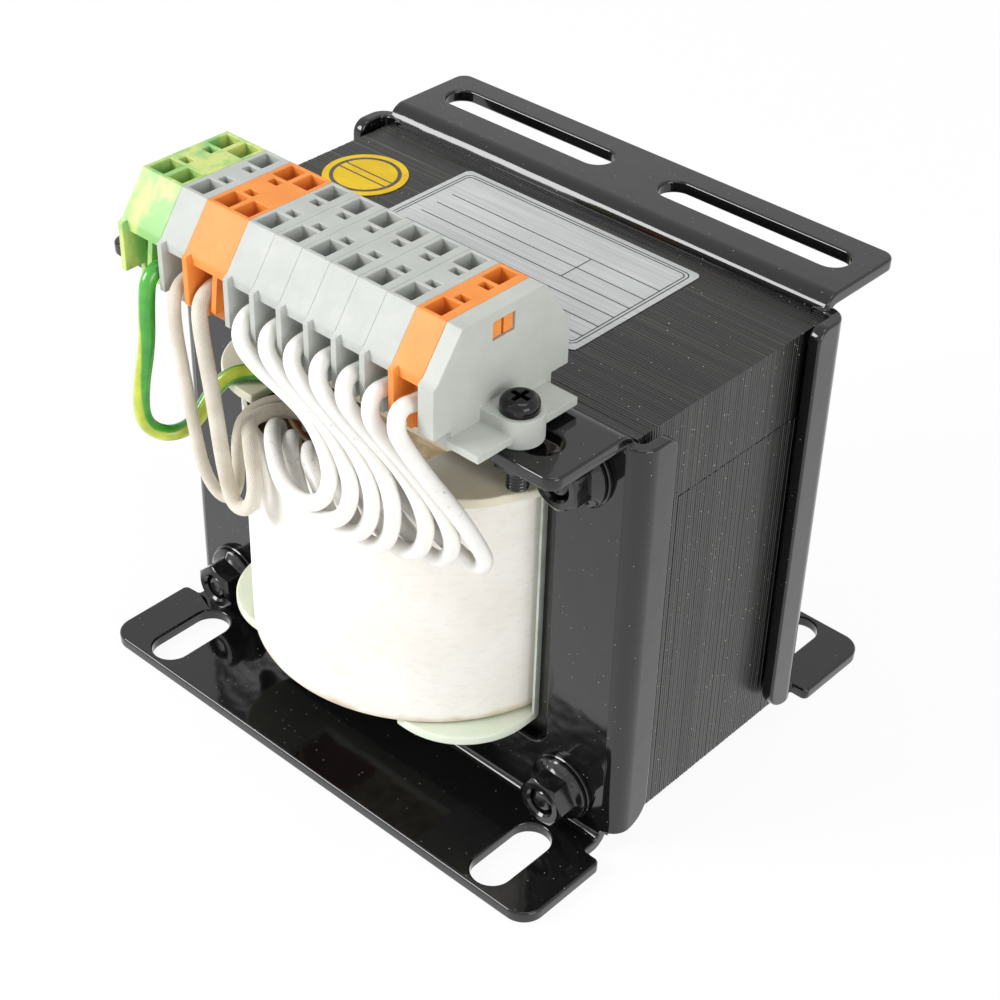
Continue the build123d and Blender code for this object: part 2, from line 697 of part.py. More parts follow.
# Lead wires: each leaves a mouth of the strip, hangs in a loop and goes down onto the top of the winding.
# A bend is listed as its offset in X and Y from the straight line between the wire's ends, and its height
# as a share of the fall from the mouth. The end on the winding is its X and its inset from the coil's front.
winding_top = layer_bottom + layer_height - winding_clearance
coil_front = coil_straight_half + wrap_half
lead_wires = {
    "wire_green": (
        lead_diameter,
        [
            (0, -2.6, 1), (-0.56, -5.84, 0.957), (-2.27, -7.75, 0.806), (-5.27, -10.66, 0.53),
            (-9.48, -14.48, 0.228), (-12.2, -16.4, -0.009), (-10.6, -13.6, -0.121),
            (-9, -9.9, -0.086), (-7.92, -6.04, 0.082), (-4.78, -2.21, 0.211), (-0.22, 1.49, 0.224),
        ],
        (-11.6, 10.3),
    ),
    "wire_cream_1": (
        thin_sleeve_diameter,
        [
            (0, -2.3, 1), (-0.54, -5.39, 0.94), (-1.98, -7.89, 0.733), (-4.22, -10.65, 0.384),
            (-7, -13.15, 0.03), (-6.7, -12.9, -0.246), (-5.2, -12.2, -0.397),
            (-3.1, -11.7, -0.427), (-1.9, -11, -0.341), (-2, -10.4, -0.198), (-2.9, -9.8, -0.039),
            (-2.52, -6.99, 0.099), (-0.57, -2.43, 0.155),
        ],
        (-9.2, 10.5),
    ),
    "wire_cream_2": (
        sleeve_diameter,
        [
            (0, -2.3, 1), (-0.72, -5.17, 0.918), (-1.61, -7.08, 0.698), (-2.92, -9.65, 0.341),
            (-4.7, -12.1, -0.004), (-4, -11.9, -0.237), (-2.9, -11.9, -0.366),
            (-0.6, -11.6, -0.362), (0.6, -11.2, -0.259), (0.5, -10.8, -0.116),
            (-0.46, -9.99, 0.03), (-1.35, -8.11, 0.129), (-2.47, -6.16, 0.151),
            (-1.04, -2.03, 0.155),
        ],
        (-6.4, 9.2),
    ),
    "wire_white_1": (
        lead_diameter,
        [
            (0, -2.1, 1), (0.08, -4.45, 0.978), (1.28, -6.34, 0.892), (4.11, -6.36, 0.789),
            (8.25, -5.5, 0.681), (12.18, -5.03, 0.578), (15.84, -5.81, 0.448),
            (18.71, -7.52, 0.31), (19.15, -9.76, 0.198), (16.5, -10.95, 0.159),
            (12.21, -10.16, 0.155), (7.68, -7.51, 0.177), (3.66, -4.47, 0.194), (1, -1.74, 0.164),
        ],
        (-7.3, 4.5),
    ),
    "wire_white_2": (
        lead_diameter,
        [
            (0, -2.1, 1), (-0.01, -4.42, 0.983), (1.27, -6.02, 0.914), (3.78, -6.24, 0.832),
            (7.56, -5.59, 0.72), (11.49, -4.97, 0.591), (15.09, -5.29, 0.435),
            (17.89, -6.41, 0.28), (18.44, -8.4, 0.142), (15.7, -9.39, 0.078), (10.52, -8.3, 0.069),
            (5.78, -5.08, 0.086), (2.35, -2.91, 0.138), (0.59, -1.18, 0.159),
        ],
        (-3.6, 3.7),
    ),
    "wire_white_3": (
        lead_diameter,
        [
            (0, -2.2, 1), (0.27, -4.9, 0.996), (1.67, -6.56, 0.944), (4.11, -6.76, 0.858),
            (7.72, -5.9, 0.728), (11.55, -4.87, 0.569), (14.4, -4.45, 0.405),
            (16.62, -4.95, 0.224), (17.09, -6.34, 0.052), (14.5, -7.3, -0.013),
            (10.43, -6.68, 0.017), (6.82, -4.8, 0.095), (2.94, -3.42, 0.168), (0.72, -1.21, 0.172),
        ],
        (0, 3.4),
    ),
    "wire_white_4": (
        lead_diameter,
        [
            (0, -2.2, 1), (0.35, -5.2, 1.017), (1.92, -7.06, 0.953), (4.06, -6.98, 0.862),
            (7.64, -5.78, 0.711), (10.77, -4.38, 0.552), (13.51, -3.71, 0.375),
            (15.84, -3.89, 0.164), (16.3, -4.9, -0.03), (13.3, -5.5, -0.099), (10, -4.7, -0.026),
            (6.39, -4.14, 0.121), (2.97, -3.53, 0.211), (0.71, -1.34, 0.203),
        ],
        (3.1, 3.6),
    ),
    "wire_white_5": (
        lead_diameter,
        [
            (0, -2.3, 1), (0.35, -5.5, 1.022), (2.01, -7.31, 0.94), (3.8, -6.61, 0.836),
            (7.22, -4.94, 0.664), (10.97, -3.02, 0.461), (14.22, -2.01, 0.259),
            (16.57, -2.07, 0.069), (16.4, -2.9, -0.073), (13.4, -3.5, -0.116), (9.6, -3.1, -0.069),
            (5.57, -2.32, 0.043), (1.81, -2.03, 0.142), (-0.32, -0.87, 0.172),
        ],
        (6.3, 4.2),
    ),
    "wire_white_6": (
        lead_diameter,
        [
            (0, -2.5, 1), (0.05, -5.6, 1.013), (1.63, -7.15, 0.918), (3.29, -6.41, 0.797),
            (6.79, -4.58, 0.608), (11.32, -2.67, 0.375), (14.68, -1.42, 0.159),
            (16.6, -1.1, -0.026), (15.3, -1.5, -0.151), (12.4, -1.8, -0.159), (9.1, -2.1, -0.065),
            (5.7, -2.44, 0.052), (1.68, -2.02, 0.159), (-0.54, -0.68, 0.172),
        ],
        (9.4, 5.3),
    ),
    "wire_white_7": (
        lead_diameter,
        [
            (0, -2.7, 1), (-0.05, -5.9, 1.026), (1.35, -7.5, 0.931), (3.11, -6.61, 0.789),
            (7.07, -4.83, 0.552), (11.89, -2.58, 0.284), (15.9, -0.92, 0.043), (16.9, 0.6, -0.134),
            (15.2, 0.6, -0.211), (12.4, 0, -0.159), (9.5, -1.4, -0.03), (5.34, -2.21, 0.091),
            (1.04, -1.54, 0.177), (-1.16, -0.44, 0.177),
        ],
        (12.3, 6.6),
    ),
}


def lead_route(mouth_x, bends, end):
    """Corners of a wire's path from the seat in its mouth to the winding's top."""
    end_x, inset = end
    mouth = Vector(mouth_x, strip_y - mouth_face, rail_top + mouth_z)
    landing = Vector(end_x, inset - coil_front, winding_top)
    corners = [mouth]
    for across, out, height in bends:
        share = min(max(height, 0), 1)
        level = landing.Z + height * (mouth.Z - landing.Z)
        corners.append(
            Vector(
                landing.X + share * (mouth.X - landing.X) + across,
                landing.Y + share * (mouth.Y - landing.Y) + out,
                level,
            )
        )
    return corners + [landing + Vector(0, 0, lead_rise), landing]


def arc_radii(corners):
    """Radius of the arc at each inner corner of a path."""
    runs = [b - a for a, b in zip(corners, corners[1:])]
    return [
        lead_arc_share * min(a.length, b.length) / tan(radians(a.get_angle(b)) / 2)
        for a, b in zip(runs, runs[1:])
    ]


wired_mouths = [x for x in mouth_places if x not in (mouth_places[0], mouth_places[4])]
for mouth_x, (name, (diameter, bends, end)) in zip(wired_mouths, lead_wires.items()):
    corners = lead_route(mouth_x, bends, end)
    radii = arc_radii(corners)
    with BuildPart() as wire:
        with BuildLine():
            FilletPolyline(*corners, radius=radii)
        with BuildSketch(Plane(origin=corners[0], z_dir=(0, -1, 0))):
            Circle(diameter / 2)
        sweep()
    write(wire, name)
    print(name, "arc radii", [round(radius, 1) for radius in radii])


# Bare labels on the core's top
with BuildPart() as rating_label:
    with BuildSketch(Plane.XY.offset(core_top)):
        with Locations((label_x, label_y)):
            RectangleRounded(label_width, label_length, label_corner_radius)
    extrude(amount=label_thickness)
write(rating_label, "rating_label")

with BuildPart() as round_sticker:
    with BuildSketch(Plane.XY.offset(core_top)):
        with Locations((sticker_x, sticker_y)):
            Circle(sticker_diameter / 2)
    extrude(amount=label_thickness)
write(round_sticker, "round_sticker")
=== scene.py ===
import itertools
import math

import bmesh
import bpy
import numpy as np
from mathutils import Matrix, Vector


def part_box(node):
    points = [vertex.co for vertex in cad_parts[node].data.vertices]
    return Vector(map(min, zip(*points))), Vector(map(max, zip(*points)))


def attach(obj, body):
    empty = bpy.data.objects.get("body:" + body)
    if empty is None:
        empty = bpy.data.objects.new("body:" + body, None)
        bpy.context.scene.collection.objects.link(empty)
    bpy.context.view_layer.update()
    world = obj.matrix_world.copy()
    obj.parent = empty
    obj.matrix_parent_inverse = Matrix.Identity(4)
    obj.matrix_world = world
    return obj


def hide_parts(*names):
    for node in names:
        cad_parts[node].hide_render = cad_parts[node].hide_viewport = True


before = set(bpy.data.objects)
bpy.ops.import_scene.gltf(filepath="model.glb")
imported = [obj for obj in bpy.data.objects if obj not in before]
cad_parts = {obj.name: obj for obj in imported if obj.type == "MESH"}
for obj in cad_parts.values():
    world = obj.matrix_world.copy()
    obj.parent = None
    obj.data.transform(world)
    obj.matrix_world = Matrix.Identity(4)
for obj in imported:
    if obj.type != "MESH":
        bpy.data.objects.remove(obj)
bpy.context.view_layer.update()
mm = 0.001
rng = np.random.default_rng(7)


# Helpers for materials
def tone(red, green, blue):
    # display values 0..255 to the linear numbers that a shader takes
    value = np.array([red, green, blue]) / 255
    linear = np.where(value <= 0.04045, value / 12.92, ((value + 0.055) / 1.055) ** 2.4)
    return tuple(float(v) for v in linear)


def addNode(material, kind, inputs=None, **settings):
    # one shader node; an input is a number, a vector or another node's output
    node = material.node_tree.nodes.new("ShaderNode" + kind)
    for name, value in settings.items():
        setattr(node, name, value)
    for name, value in (inputs or {}).items():
        if isinstance(value, bpy.types.NodeSocket):
            material.node_tree.links.new(value, node.inputs[name])
        else:
            node.inputs[name].default_value = value
    return node


def makeMaterial(name, color, roughness, **sockets):
    material = bpy.data.materials.new(name)
    material.use_nodes = True
    shader = material.node_tree.nodes["Principled BSDF"]
    shader.inputs["Base Color"].default_value = (*color, 1)
    shader.inputs["Roughness"].default_value = roughness
    for socket, value in sockets.items():
        shader.inputs[socket.replace("_", " ")].default_value = value
    return material, shader


def drive(material, node, socket, output):
    # a pattern's output drives one socket
    material.node_tree.links.new(output, node.inputs[socket])


def compute(material, operation, *values):
    # one step of arithmetic on numbers or outputs
    return addNode(material, "Math", dict(enumerate(values)), operation=operation).outputs[0]


def coordinate(material, axis, source="Object"):
    # one of the piece's own coordinates in metres, or of its UV map: X metres along a lead, Y turns round it
    coordinates = addNode(material, "TexCoord")
    return addNode(material, "SeparateXYZ", {"Vector": coordinates.outputs[source]}).outputs[axis]


def place(material, scale=(1, 1, 1), turn=(0, 0, 0), source="Object"):
    # the piece's own coordinates in metres, stretched and turned for one texture
    coordinates = addNode(material, "TexCoord")
    inputs = {"Vector": coordinates.outputs[source], "Scale": scale, "Rotation": turn}
    return addNode(material, "Mapping", inputs).outputs["Vector"]


def noise(material, scale, detail=3, rough=0.5, at=None):
    # clouds of the given scale on the piece's own coordinates, or on the ones given
    vector = place(material) if at is None else at
    inputs = {"Vector": vector, "Scale": scale, "Detail": detail, "Roughness": rough}
    return addNode(material, "TexNoise", inputs).outputs["Fac"]


def between(material, value, low, high, start=0, end=1):
    # value from low..high carried to start..end, clamped
    inputs = {"Value": value, "From Min": low, "From Max": high, "To Min": start, "To Max": end}
    return addNode(material, "MapRange", inputs).outputs["Result"]


def patches(material, scale, detail=3, low=0.35, high=0.7, start=0, end=1):
    # soft patches: the clouds from low..high carried to start..end
    return between(material, noise(material, scale, detail), low, high, start, end)


def blend(material, factor, first, second):
    inputs = {0: factor, 6: first if isinstance(first, bpy.types.NodeSocket) else (*first, 1)}
    inputs[7] = second if isinstance(second, bpy.types.NodeSocket) else (*second, 1)
    return addNode(material, "Mix", inputs, data_type="RGBA").outputs[2]


def addBump(material, shader, height, depth, strength=0.5):
    # the height pattern as a bump of the given depth in mm
    bump = addNode(material, "Bump", {"Height": height, "Distance": depth * mm, "Strength": strength})
    drive(material, shader, "Normal", bump.outputs["Normal"])


def dustSpots(material, scale, size, share):
    # specks of dust: 1 inside a small spot of some of the cells, else 0
    cells = addNode(material, "TexVoronoi", {"Vector": place(material), "Scale": scale})
    spot = between(material, cells.outputs["Distance"], size, size * 0.6)
    pick = addNode(material, "SeparateColor", {"Color": cells.outputs["Color"]})
    chosen = compute(material, "LESS_THAN", pick.outputs["Red"], share)
    return compute(material, "MULTIPLY", spot, chosen)


# Helpers for meshes
def addPiece(name, mesh):
    piece = bpy.data.objects.new(name, mesh)
    bpy.context.scene.collection.objects.link(piece)
    return piece


def gridMesh(name, points, closeRows=False, closeColumns=False, capped=False, uvRows=None, uvColumns=None):
    # points[i, j] is a surface of two parameters: each point is joined to its neighbours, and a closed
    # direction's last to its first; the UV map, where there is one, has uvRows along i and uvColumns along j
    rows, columns = points.shape[:2]
    index = np.arange(rows * columns).reshape(rows, columns)
    if closeRows:
        index = np.vstack([index, index[:1]])
    if closeColumns:
        index = np.hstack([index, index[:, :1]])
    quads = np.stack([index[:-1, :-1], index[1:, :-1], index[1:, 1:], index[:-1, 1:]], axis=-1)
    faces = quads.reshape(-1, 4).tolist()
    if capped:
        faces += [index[0, :columns].tolist(), index[-1, :columns][::-1].tolist()]
    mesh = bpy.data.meshes.new(name)
    mesh.from_pydata(points.reshape(-1, 3).tolist(), [], faces)
    if uvRows is not None:
        u, v = np.meshgrid(uvRows, uvColumns, indexing="ij")
        here, ahead = slice(None, -1), slice(1, None)
        corners = [(here, here), (ahead, here), (ahead, ahead), (here, ahead)]
        flat = np.stack([np.stack([u[corner], v[corner]], axis=-1) for corner in corners], axis=2)
        flat = flat.reshape(-1, 2)
        uv = np.zeros((len(mesh.loops), 2))
        uv[: len(flat)] = flat
        mesh.uv_layers.new(name="UVMap").data.foreach_set("uv", uv.ravel())
    return addPiece(name, mesh)


def mergedPiece(name, grids):
    # several grids in mm as one piece; each comes with its settings for gridMesh
    shape = bmesh.new()
    for points, settings in grids:
        part = gridMesh(name, points * mm, **settings)
        shape.from_mesh(part.data)
        bpy.data.objects.remove(part)
    mesh = bpy.data.meshes.new(name)
    shape.to_mesh(mesh)
    shape.free()
    return addPiece(name, mesh)


def pointsOf(mesh):
    # the mesh's points as one array, in its own unit
    points = np.zeros(len(mesh.vertices) * 3)
    mesh.vertices.foreach_get("co", points)
    return points.reshape(-1, 3)


def dress(piece, material, replaced=()):
    # finish, body, and what the piece stands for
    piece.data.materials.append(material)
    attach(piece, "root")
    if replaced:
        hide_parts(*replaced)
    return piece


def finishPiece(piece, material, replaced=(), smoothAngle=None):
    # faces turned outwards, then smooth shading up to the angle
    shape = bmesh.new()
    shape.from_mesh(piece.data)
    bmesh.ops.recalc_face_normals(shape, faces=shape.faces)
    shape.to_mesh(piece.data)
    shape.free()
    if smoothAngle is not None:
        piece.data.shade_smooth()
        piece.data.set_sharp_from_angle(angle=math.radians(smoothAngle))
    return dress(piece, material, replaced)


rounding = {"doubles": 1e-6, "flat": 0.6, "narrow": 25}  # doubles in metres, the others in degrees


def roundedCopy(node, name, material, width, segments=2, angle=35, merged=True):
    # the CAD solid with its edges rounded: every edge sharper than the angle becomes a strip of the given
    # width in mm, but not at a point where two such edges meet at a narrow angle
    shape = bmesh.new()
    shape.from_mesh(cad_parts[node].data)
    bmesh.ops.remove_doubles(shape, verts=shape.verts, dist=rounding["doubles"])
    if merged:
        flat = math.radians(rounding["flat"])
        bmesh.ops.dissolve_limit(shape, angle_limit=flat, verts=shape.verts, edges=shape.edges)
    weight = shape.edges.layers.float.new("bevel_weight_edge")
    sharp = {edge for edge in shape.edges if edge.calc_face_angle(0) > math.radians(angle)}
    narrow = math.cos(math.radians(rounding["narrow"]))
    for point in shape.verts:
        own = [edge for edge in point.link_edges if edge in sharp]
        runs = [(edge.other_vert(point).co - point.co).normalized() for edge in own]
        if any(a.dot(b) > narrow for a, b in itertools.combinations(runs, 2)):
            sharp -= set(own)
    for edge in sharp:
        edge[weight] = 1
    mesh = bpy.data.meshes.new(name)
    shape.to_mesh(mesh)
    shape.free()
    mesh.shade_smooth()
    piece = addPiece(name, mesh)
    bevel = piece.modifiers.new("roundedEdges", "BEVEL")
    bevel.width = width * mm
    bevel.segments = segments
    bevel.limit_method = "WEIGHT"
    bevel.miter_outer = "MITER_ARC"
    bevel.use_clamp_overlap = False
    facing = piece.modifiers.new("facesStayFlat", "WEIGHTED_NORMAL")
    facing.weight = 100
    facing.keep_sharp = True
    return dress(piece, material, [node])


# Camera, light and floor
view = {  # mm; degrees round the part from its front, up, and about the line of sight; lens in mm
    "position": (170.779, -190.906, 219.011),
    "azimuth": 41.5365,
    "elevation": 36.4877,
    "roll": 1.6842,
    "lens": 74.64,
    "sensor": 36,
}
camera = bpy.data.objects.new("camera", bpy.data.cameras.new("camera"))
camera.data.lens = view["lens"]
camera.data.sensor_width = view["sensor"]
camera.data.clip_start = 0.01
turn = Matrix.Rotation(math.radians(view["azimuth"]), 4, "Z")
turn @= Matrix.Rotation(math.radians(90 - view["elevation"]), 4, "X")
turn @= Matrix.Rotation(math.radians(view["roll"]), 4, "Z")
camera.matrix_world = Matrix.Translation(Vector(view["position"]) * mm) @ turn
bpy.context.scene.collection.objects.link(camera)
bpy.context.scene.camera = camera
bpy.context.scene.view_settings.view_transform = "Standard"

lamps = {  # towards the lamp, its distance and size in metres, its watts
    "key": ((-0.53, -0.70, 0.47), 1.0, 0.42, 8.0),
    "side": ((0.93, -0.20, 0.30), 1.0, 0.5, 3.8),
    "top": ((0.10, 0.10, 1.0), 1.1, 0.5, 2.2),
}
middle = Vector((0, -5, 45)) * mm  # what the lamps aim at
for name, (direction, distance, size, watts) in lamps.items():
    lamp = bpy.data.objects.new(name, bpy.data.lights.new(name, "AREA"))
    lamp.data.size = size
    lamp.data.energy = watts
    lamp.location = middle + Vector(direction).normalized() * distance
    lamp.rotation_euler = Vector(direction).to_track_quat("Z", "Y").to_euler()
    bpy.context.scene.collection.objects.link(lamp)


def seenRays(owner):
    # the ray's kinds, and 1 for what the camera sees straight, mirrored or through glass, else 0
    path = addNode(owner, "LightPath")
    seen = compute(owner, "MAXIMUM", path.outputs["Is Camera Ray"], path.outputs["Is Glossy Ray"])
    return path, compute(owner, "MAXIMUM", seen, path.outputs["Is Transmission Ray"])


surround = {"seen": (1, 1, 1), "light": (0.50, 0.505, 0.515)}
world = bpy.data.worlds.new("world")
world.use_nodes = True
bpy.context.scene.world = world
path, seen = seenRays(world)
sky = blend(world, seen, surround["light"], surround["seen"])
drive(world, world.node_tree.nodes["Background"], "Color", sky)

# metres; shadow is the share of its own shading that the floor shows, mirrored its strength in reflections
floorLook = {"half": 1.5, "depth": 2e-5, "color": (0.92, 0.92, 0.92), "shadow": 0.07, "mirrored": 1.35}
floorMaterial, floorShader = makeMaterial("paleFloor", floorLook["color"], 0.9)
path, seen = seenRays(floorMaterial)
strength = between(floorMaterial, path.outputs["Is Glossy Ray"], 0, 1, 1, floorLook["mirrored"])
glow = addNode(floorMaterial, "Emission", {"Color": (1, 1, 1, 1), "Strength": strength})
amount = compute(floorMaterial, "MULTIPLY", seen, 1 - floorLook["shadow"])
floorMix = addNode(floorMaterial, "MixShader", {0: amount, 1: floorShader.outputs[0], 2: glow.outputs[0]})
surfaceEnd = floorMaterial.node_tree.nodes["Material Output"]
drive(floorMaterial, surfaceEnd, "Surface", floorMix.outputs[0])
ends = np.array([-1, 1]) * floorLook["half"]
floorX, floorY = np.meshgrid(ends, ends, indexing="ij")
floor = gridMesh("floor", np.stack([floorX, floorY, np.full((2, 2), -floorLook["depth"])], axis=-1))
floor.data.materials.append(floorMaterial)
print("camera, light and floor are in place")


# Lead wires
leadWires = {  # mm; each route runs from the wire's mouth in the strip to the winding
    "wire_green": {
        "diameter": 2.3,
        "route": [
            (-23.55, -38.1, 78.4), (-23.55, -40.7, 78.4), (-23.6, -43.6, 77.4), (-23.5, -44.3, 73.9),
            (-23.2, -45.0, 67.5), (-23.8, -46.4, 60.5), (-23.8, -46.5, 55.0), (-22.2, -43.7, 52.4),
            (-20.6, -40.0, 53.2), (-20.5, -36.8, 57.1), (-18.9, -34.0, 60.1), (-14.5, -30.4, 60.4),
            (-11.6, -30.1, 57.5), (-11.6, -30.1, 55.2),
        ],
    },
    "wire_cream_1": {
        "diameter": 1.8,
        "route": [
            (-19.05, -38.1, 78.4), (-19.05, -40.4, 78.4), (-19.0, -43.0, 77.0), (-18.4, -43.8, 72.2),
            (-17.2, -43.7, 64.1), (-16.5, -43.3, 55.9), (-15.9, -42.8, 49.5), (-14.4, -42.1, 46.0),
            (-12.3, -41.6, 45.3), (-11.1, -40.9, 47.3), (-11.2, -40.3, 50.6), (-12.1, -39.7, 54.3),
            (-12.7, -37.7, 57.5), (-11.3, -33.6, 58.8), (-9.2, -29.9, 57.5), (-9.2, -29.9, 55.2),
        ],
    },
    "wire_cream_2": {
        "diameter": 2.2,
        "route": [
            (-14.55, -38.1, 78.4), (-14.55, -40.4, 78.4), (-14.6, -42.7, 76.5), (-13.7, -43.1, 71.4),
            (-12.1, -43.2, 63.1), (-11.1, -43.3, 55.1), (-10.4, -43.1, 49.7), (-9.3, -43.1, 46.7),
            (-7.0, -42.8, 46.8), (-5.8, -42.4, 49.2), (-5.9, -42.0, 52.5), (-7.1, -41.4, 55.9),
            (-8.8, -40.2, 58.2), (-10.1, -38.4, 58.7), (-8.7, -34.3, 58.8), (-6.4, -31.2, 57.5),
            (-6.4, -31.2, 55.2),
        ],
    },
    "wire_white_1": {
        "diameter": 2.3,
        "route": [
            (-6.05, -38.1, 78.4), (-6.05, -40.2, 78.4), (-6.0, -42.5, 77.9), (-4.9, -44.2, 75.9),
            (-2.2, -44.0, 73.5), (1.8, -42.9, 71.0), (5.6, -42.2, 68.6), (9.1, -42.7, 65.6),
            (11.8, -44.1, 62.4), (12.1, -46.1, 59.8), (9.4, -47.2, 58.9), (5.1, -46.4, 58.8),
            (0.6, -43.8, 59.3), (-3.4, -40.8, 59.7), (-6.1, -38.0, 59.0), (-7.3, -35.9, 57.5),
            (-7.3, -35.9, 55.2),
        ],
    },
    "wire_white_2": {
        "diameter": 2.3,
        "route": [
            (-1.05, -38.1, 78.4), (-1.05, -40.2, 78.4), (-1.1, -42.5, 78.0), (0.0, -44.0, 76.4),
            (2.3, -44.1, 74.5), (5.8, -43.3, 71.9), (9.4, -42.5, 68.9), (12.6, -42.6, 65.3),
            (15.0, -43.5, 61.7), (15.2, -45.3, 58.5), (12.3, -46.2, 57.0), (7.1, -45.1, 56.8),
            (2.4, -41.9, 57.2), (-0.9, -39.8, 58.4), (-2.6, -38.1, 58.9), (-3.6, -36.7, 57.5),
            (-3.6, -36.7, 55.2),
        ],
    },
    "wire_white_3": {
        "diameter": 2.3,
        "route": [
            (3.95, -38.1, 78.4), (3.95, -40.3, 78.4), (4.2, -43.0, 78.3), (5.4, -44.6, 77.1),
            (7.5, -44.7, 75.1), (10.6, -43.7, 72.1), (13.8, -42.5, 68.4), (16.0, -41.9, 64.6),
            (17.5, -42.2, 60.4), (17.3, -43.4, 56.4), (14.5, -44.3, 54.9), (10.5, -43.7, 55.6),
            (7.2, -41.9, 57.4), (3.6, -40.6, 59.1), (1.4, -38.4, 59.2), (0.0, -37.0, 57.5),
            (0.0, -37.0, 55.2),
        ],
    },
    "wire_white_4": {
        "diameter": 2.3,
        "route": [
            (8.95, -38.1, 78.4), (8.95, -40.3, 78.4), (9.3, -43.3, 78.8), (10.6, -45.1, 77.3),
            (12.2, -44.9, 75.2), (14.9, -43.5, 71.7), (17.1, -41.9, 68.0), (18.8, -41.0, 63.9),
            (19.9, -40.9, 59.0), (19.4, -41.7, 54.5), (16.4, -42.3, 52.9), (13.1, -41.5, 54.6),
            (10.2, -41.1, 58.0), (7.3, -40.6, 60.1), (5.0, -38.4, 59.9), (3.1, -36.8, 57.5),
            (3.1, -36.8, 55.2),
        ],
    },
    "wire_white_5": {
        "diameter": 2.3,
        "route": [
            (13.95, -38.1, 78.4), (13.95, -40.4, 78.4), (14.3, -43.6, 78.9), (15.5, -45.3, 77.0),
            (16.5, -44.4, 74.6), (18.6, -42.4, 70.6), (20.8, -40.1, 65.9), (22.5, -38.7, 61.2),
            (23.4, -38.4, 56.8), (22.7, -39.1, 53.5), (19.7, -39.7, 52.5), (15.9, -39.3, 53.6),
            (12.2, -38.6, 56.2), (9.2, -38.5, 58.5), (7.3, -37.4, 59.2), (6.3, -36.2, 57.5),
            (6.3, -36.2, 55.2),
        ],
    },
    "wire_white_6": {
        "diameter": 2.3,
        "route": [
            (18.95, -38.1, 78.4), (18.95, -40.6, 78.4), (19.0, -43.7, 78.7), (19.8, -45.0, 76.5),
            (20.3, -43.9, 73.7), (22.0, -41.5, 69.3), (24.3, -38.9, 63.9), (25.6, -37.0, 58.9),
            (26.0, -36.2, 54.6), (24.7, -36.6, 51.7), (21.8, -36.9, 51.5), (18.5, -37.2, 53.7),
            (15.6, -37.7, 56.4), (12.6, -37.6, 58.9), (10.5, -36.3, 59.2), (9.4, -35.1, 57.5),
            (9.4, -35.1, 55.2),
        ],
    },
    "wire_white_7": {
        "diameter": 2.3,
        "route": [
            (23.95, -38.1, 78.4), (23.95, -40.8, 78.4), (23.9, -44.0, 79.0), (24.5, -45.3, 76.8),
            (24.6, -43.8, 73.5), (25.8, -41.0, 68.0), (27.5, -37.6, 61.8), (28.7, -34.9, 56.2),
            (29.2, -33.2, 52.1), (27.5, -33.2, 50.3), (24.7, -33.8, 51.5), (21.8, -35.2, 54.5),
            (18.7, -36.4, 57.3), (15.4, -36.1, 59.3), (13.2, -35.0, 59.3), (12.3, -33.8, 57.5),
            (12.3, -33.8, 55.2),
        ],
    },
}


def splinePath(route):
    # the points of the smooth NURBS line that has the route's corners as its control points
    curve = bpy.data.curves.new("route", "CURVE")
    curve.dimensions = "3D"
    curve.resolution_u = 24
    spline = curve.splines.new("NURBS")
    spline.points.add(len(route) - 1)
    for point, corner in zip(spline.points, route):
        point.co = (*(Vector(corner) * mm), 1)
    spline.order_u = 3
    spline.use_endpoint_u = True
    holder = bpy.data.objects.new("route", curve)
    line = bpy.data.meshes.new_from_object(holder)
    points = pointsOf(line)
    bpy.data.meshes.remove(line)
    bpy.data.objects.remove(holder)
    bpy.data.curves.remove(curve)
    return points


def tubeAlong(name, path, radius, spacing, columns, relief=None):
    # point(s, a) = path(s) + (radius + relief(s, a)) * (cos(a) * side(s) + sin(a) * across(s)), with side
    # carried along untwisted
    along = np.concatenate([[0], np.cumsum(np.linalg.norm(np.diff(path, axis=0), axis=1))])
    stations = np.linspace(0, along[-1], round(along[-1] / spacing) + 1)
    line = np.stack([np.interp(stations, along, path[:, k]) for k in range(3)], axis=1)
    ahead = np.gradient(line, axis=0)
    ahead /= np.linalg.norm(ahead, axis=1, keepdims=True)
    side = np.zeros_like(line)
    last = np.array([1.0, 0.0, 0.0])
    for i, direction in enumerate(ahead):  # the last side made square to each station's new direction
        last = last - direction * (last @ direction)
        last /= np.linalg.norm(last)
        side[i] = last
    across = np.cross(ahead, side)
    angle = np.linspace(0, 2 * np.pi, columns, endpoint=False)
    size = radius * np.ones((len(stations), columns))
    if relief is not None:
        size = size + relief(stations[:, None], angle[None, :])
    around = np.cos(angle)[None, :, None] * side[:, None] + np.sin(angle)[None, :, None] * across[:, None]
    points = line[:, None] + size[..., None] * around
    uvColumns = np.linspace(0, 1, columns + 1)
    return gridMesh(name, points, closeColumns=True, capped=True, uvRows=stations, uvColumns=uvColumns)


braid = {"strands": 22, "pitch": 0.62, "height": 0.06}  # strands each way, their pitch along and height in mm


def braidRelief(along, angle):
    # two crossing strand families p, q = strands * a / 2pi +- s / pitch; the parity of the cell picks the
    # one on top, and its height is height * sin(pi * across) ^ 0.6 * (0.55 + 0.45 * sin(pi * over))
    p = braid["strands"] * angle / (2 * np.pi) + along / (braid["pitch"] * mm)
    q = braid["strands"] * angle / (2 * np.pi) - along / (braid["pitch"] * mm)
    first = (np.floor(p) + np.floor(q)) % 2 == 0
    across, over = np.where(first, p, q) % 1, np.where(first, q, p) % 1
    ridge = np.abs(np.sin(np.pi * across)) ** 0.6 * (0.55 + 0.45 * np.abs(np.sin(np.pi * over)))
    return braid["height"] * mm * (ridge - 1)


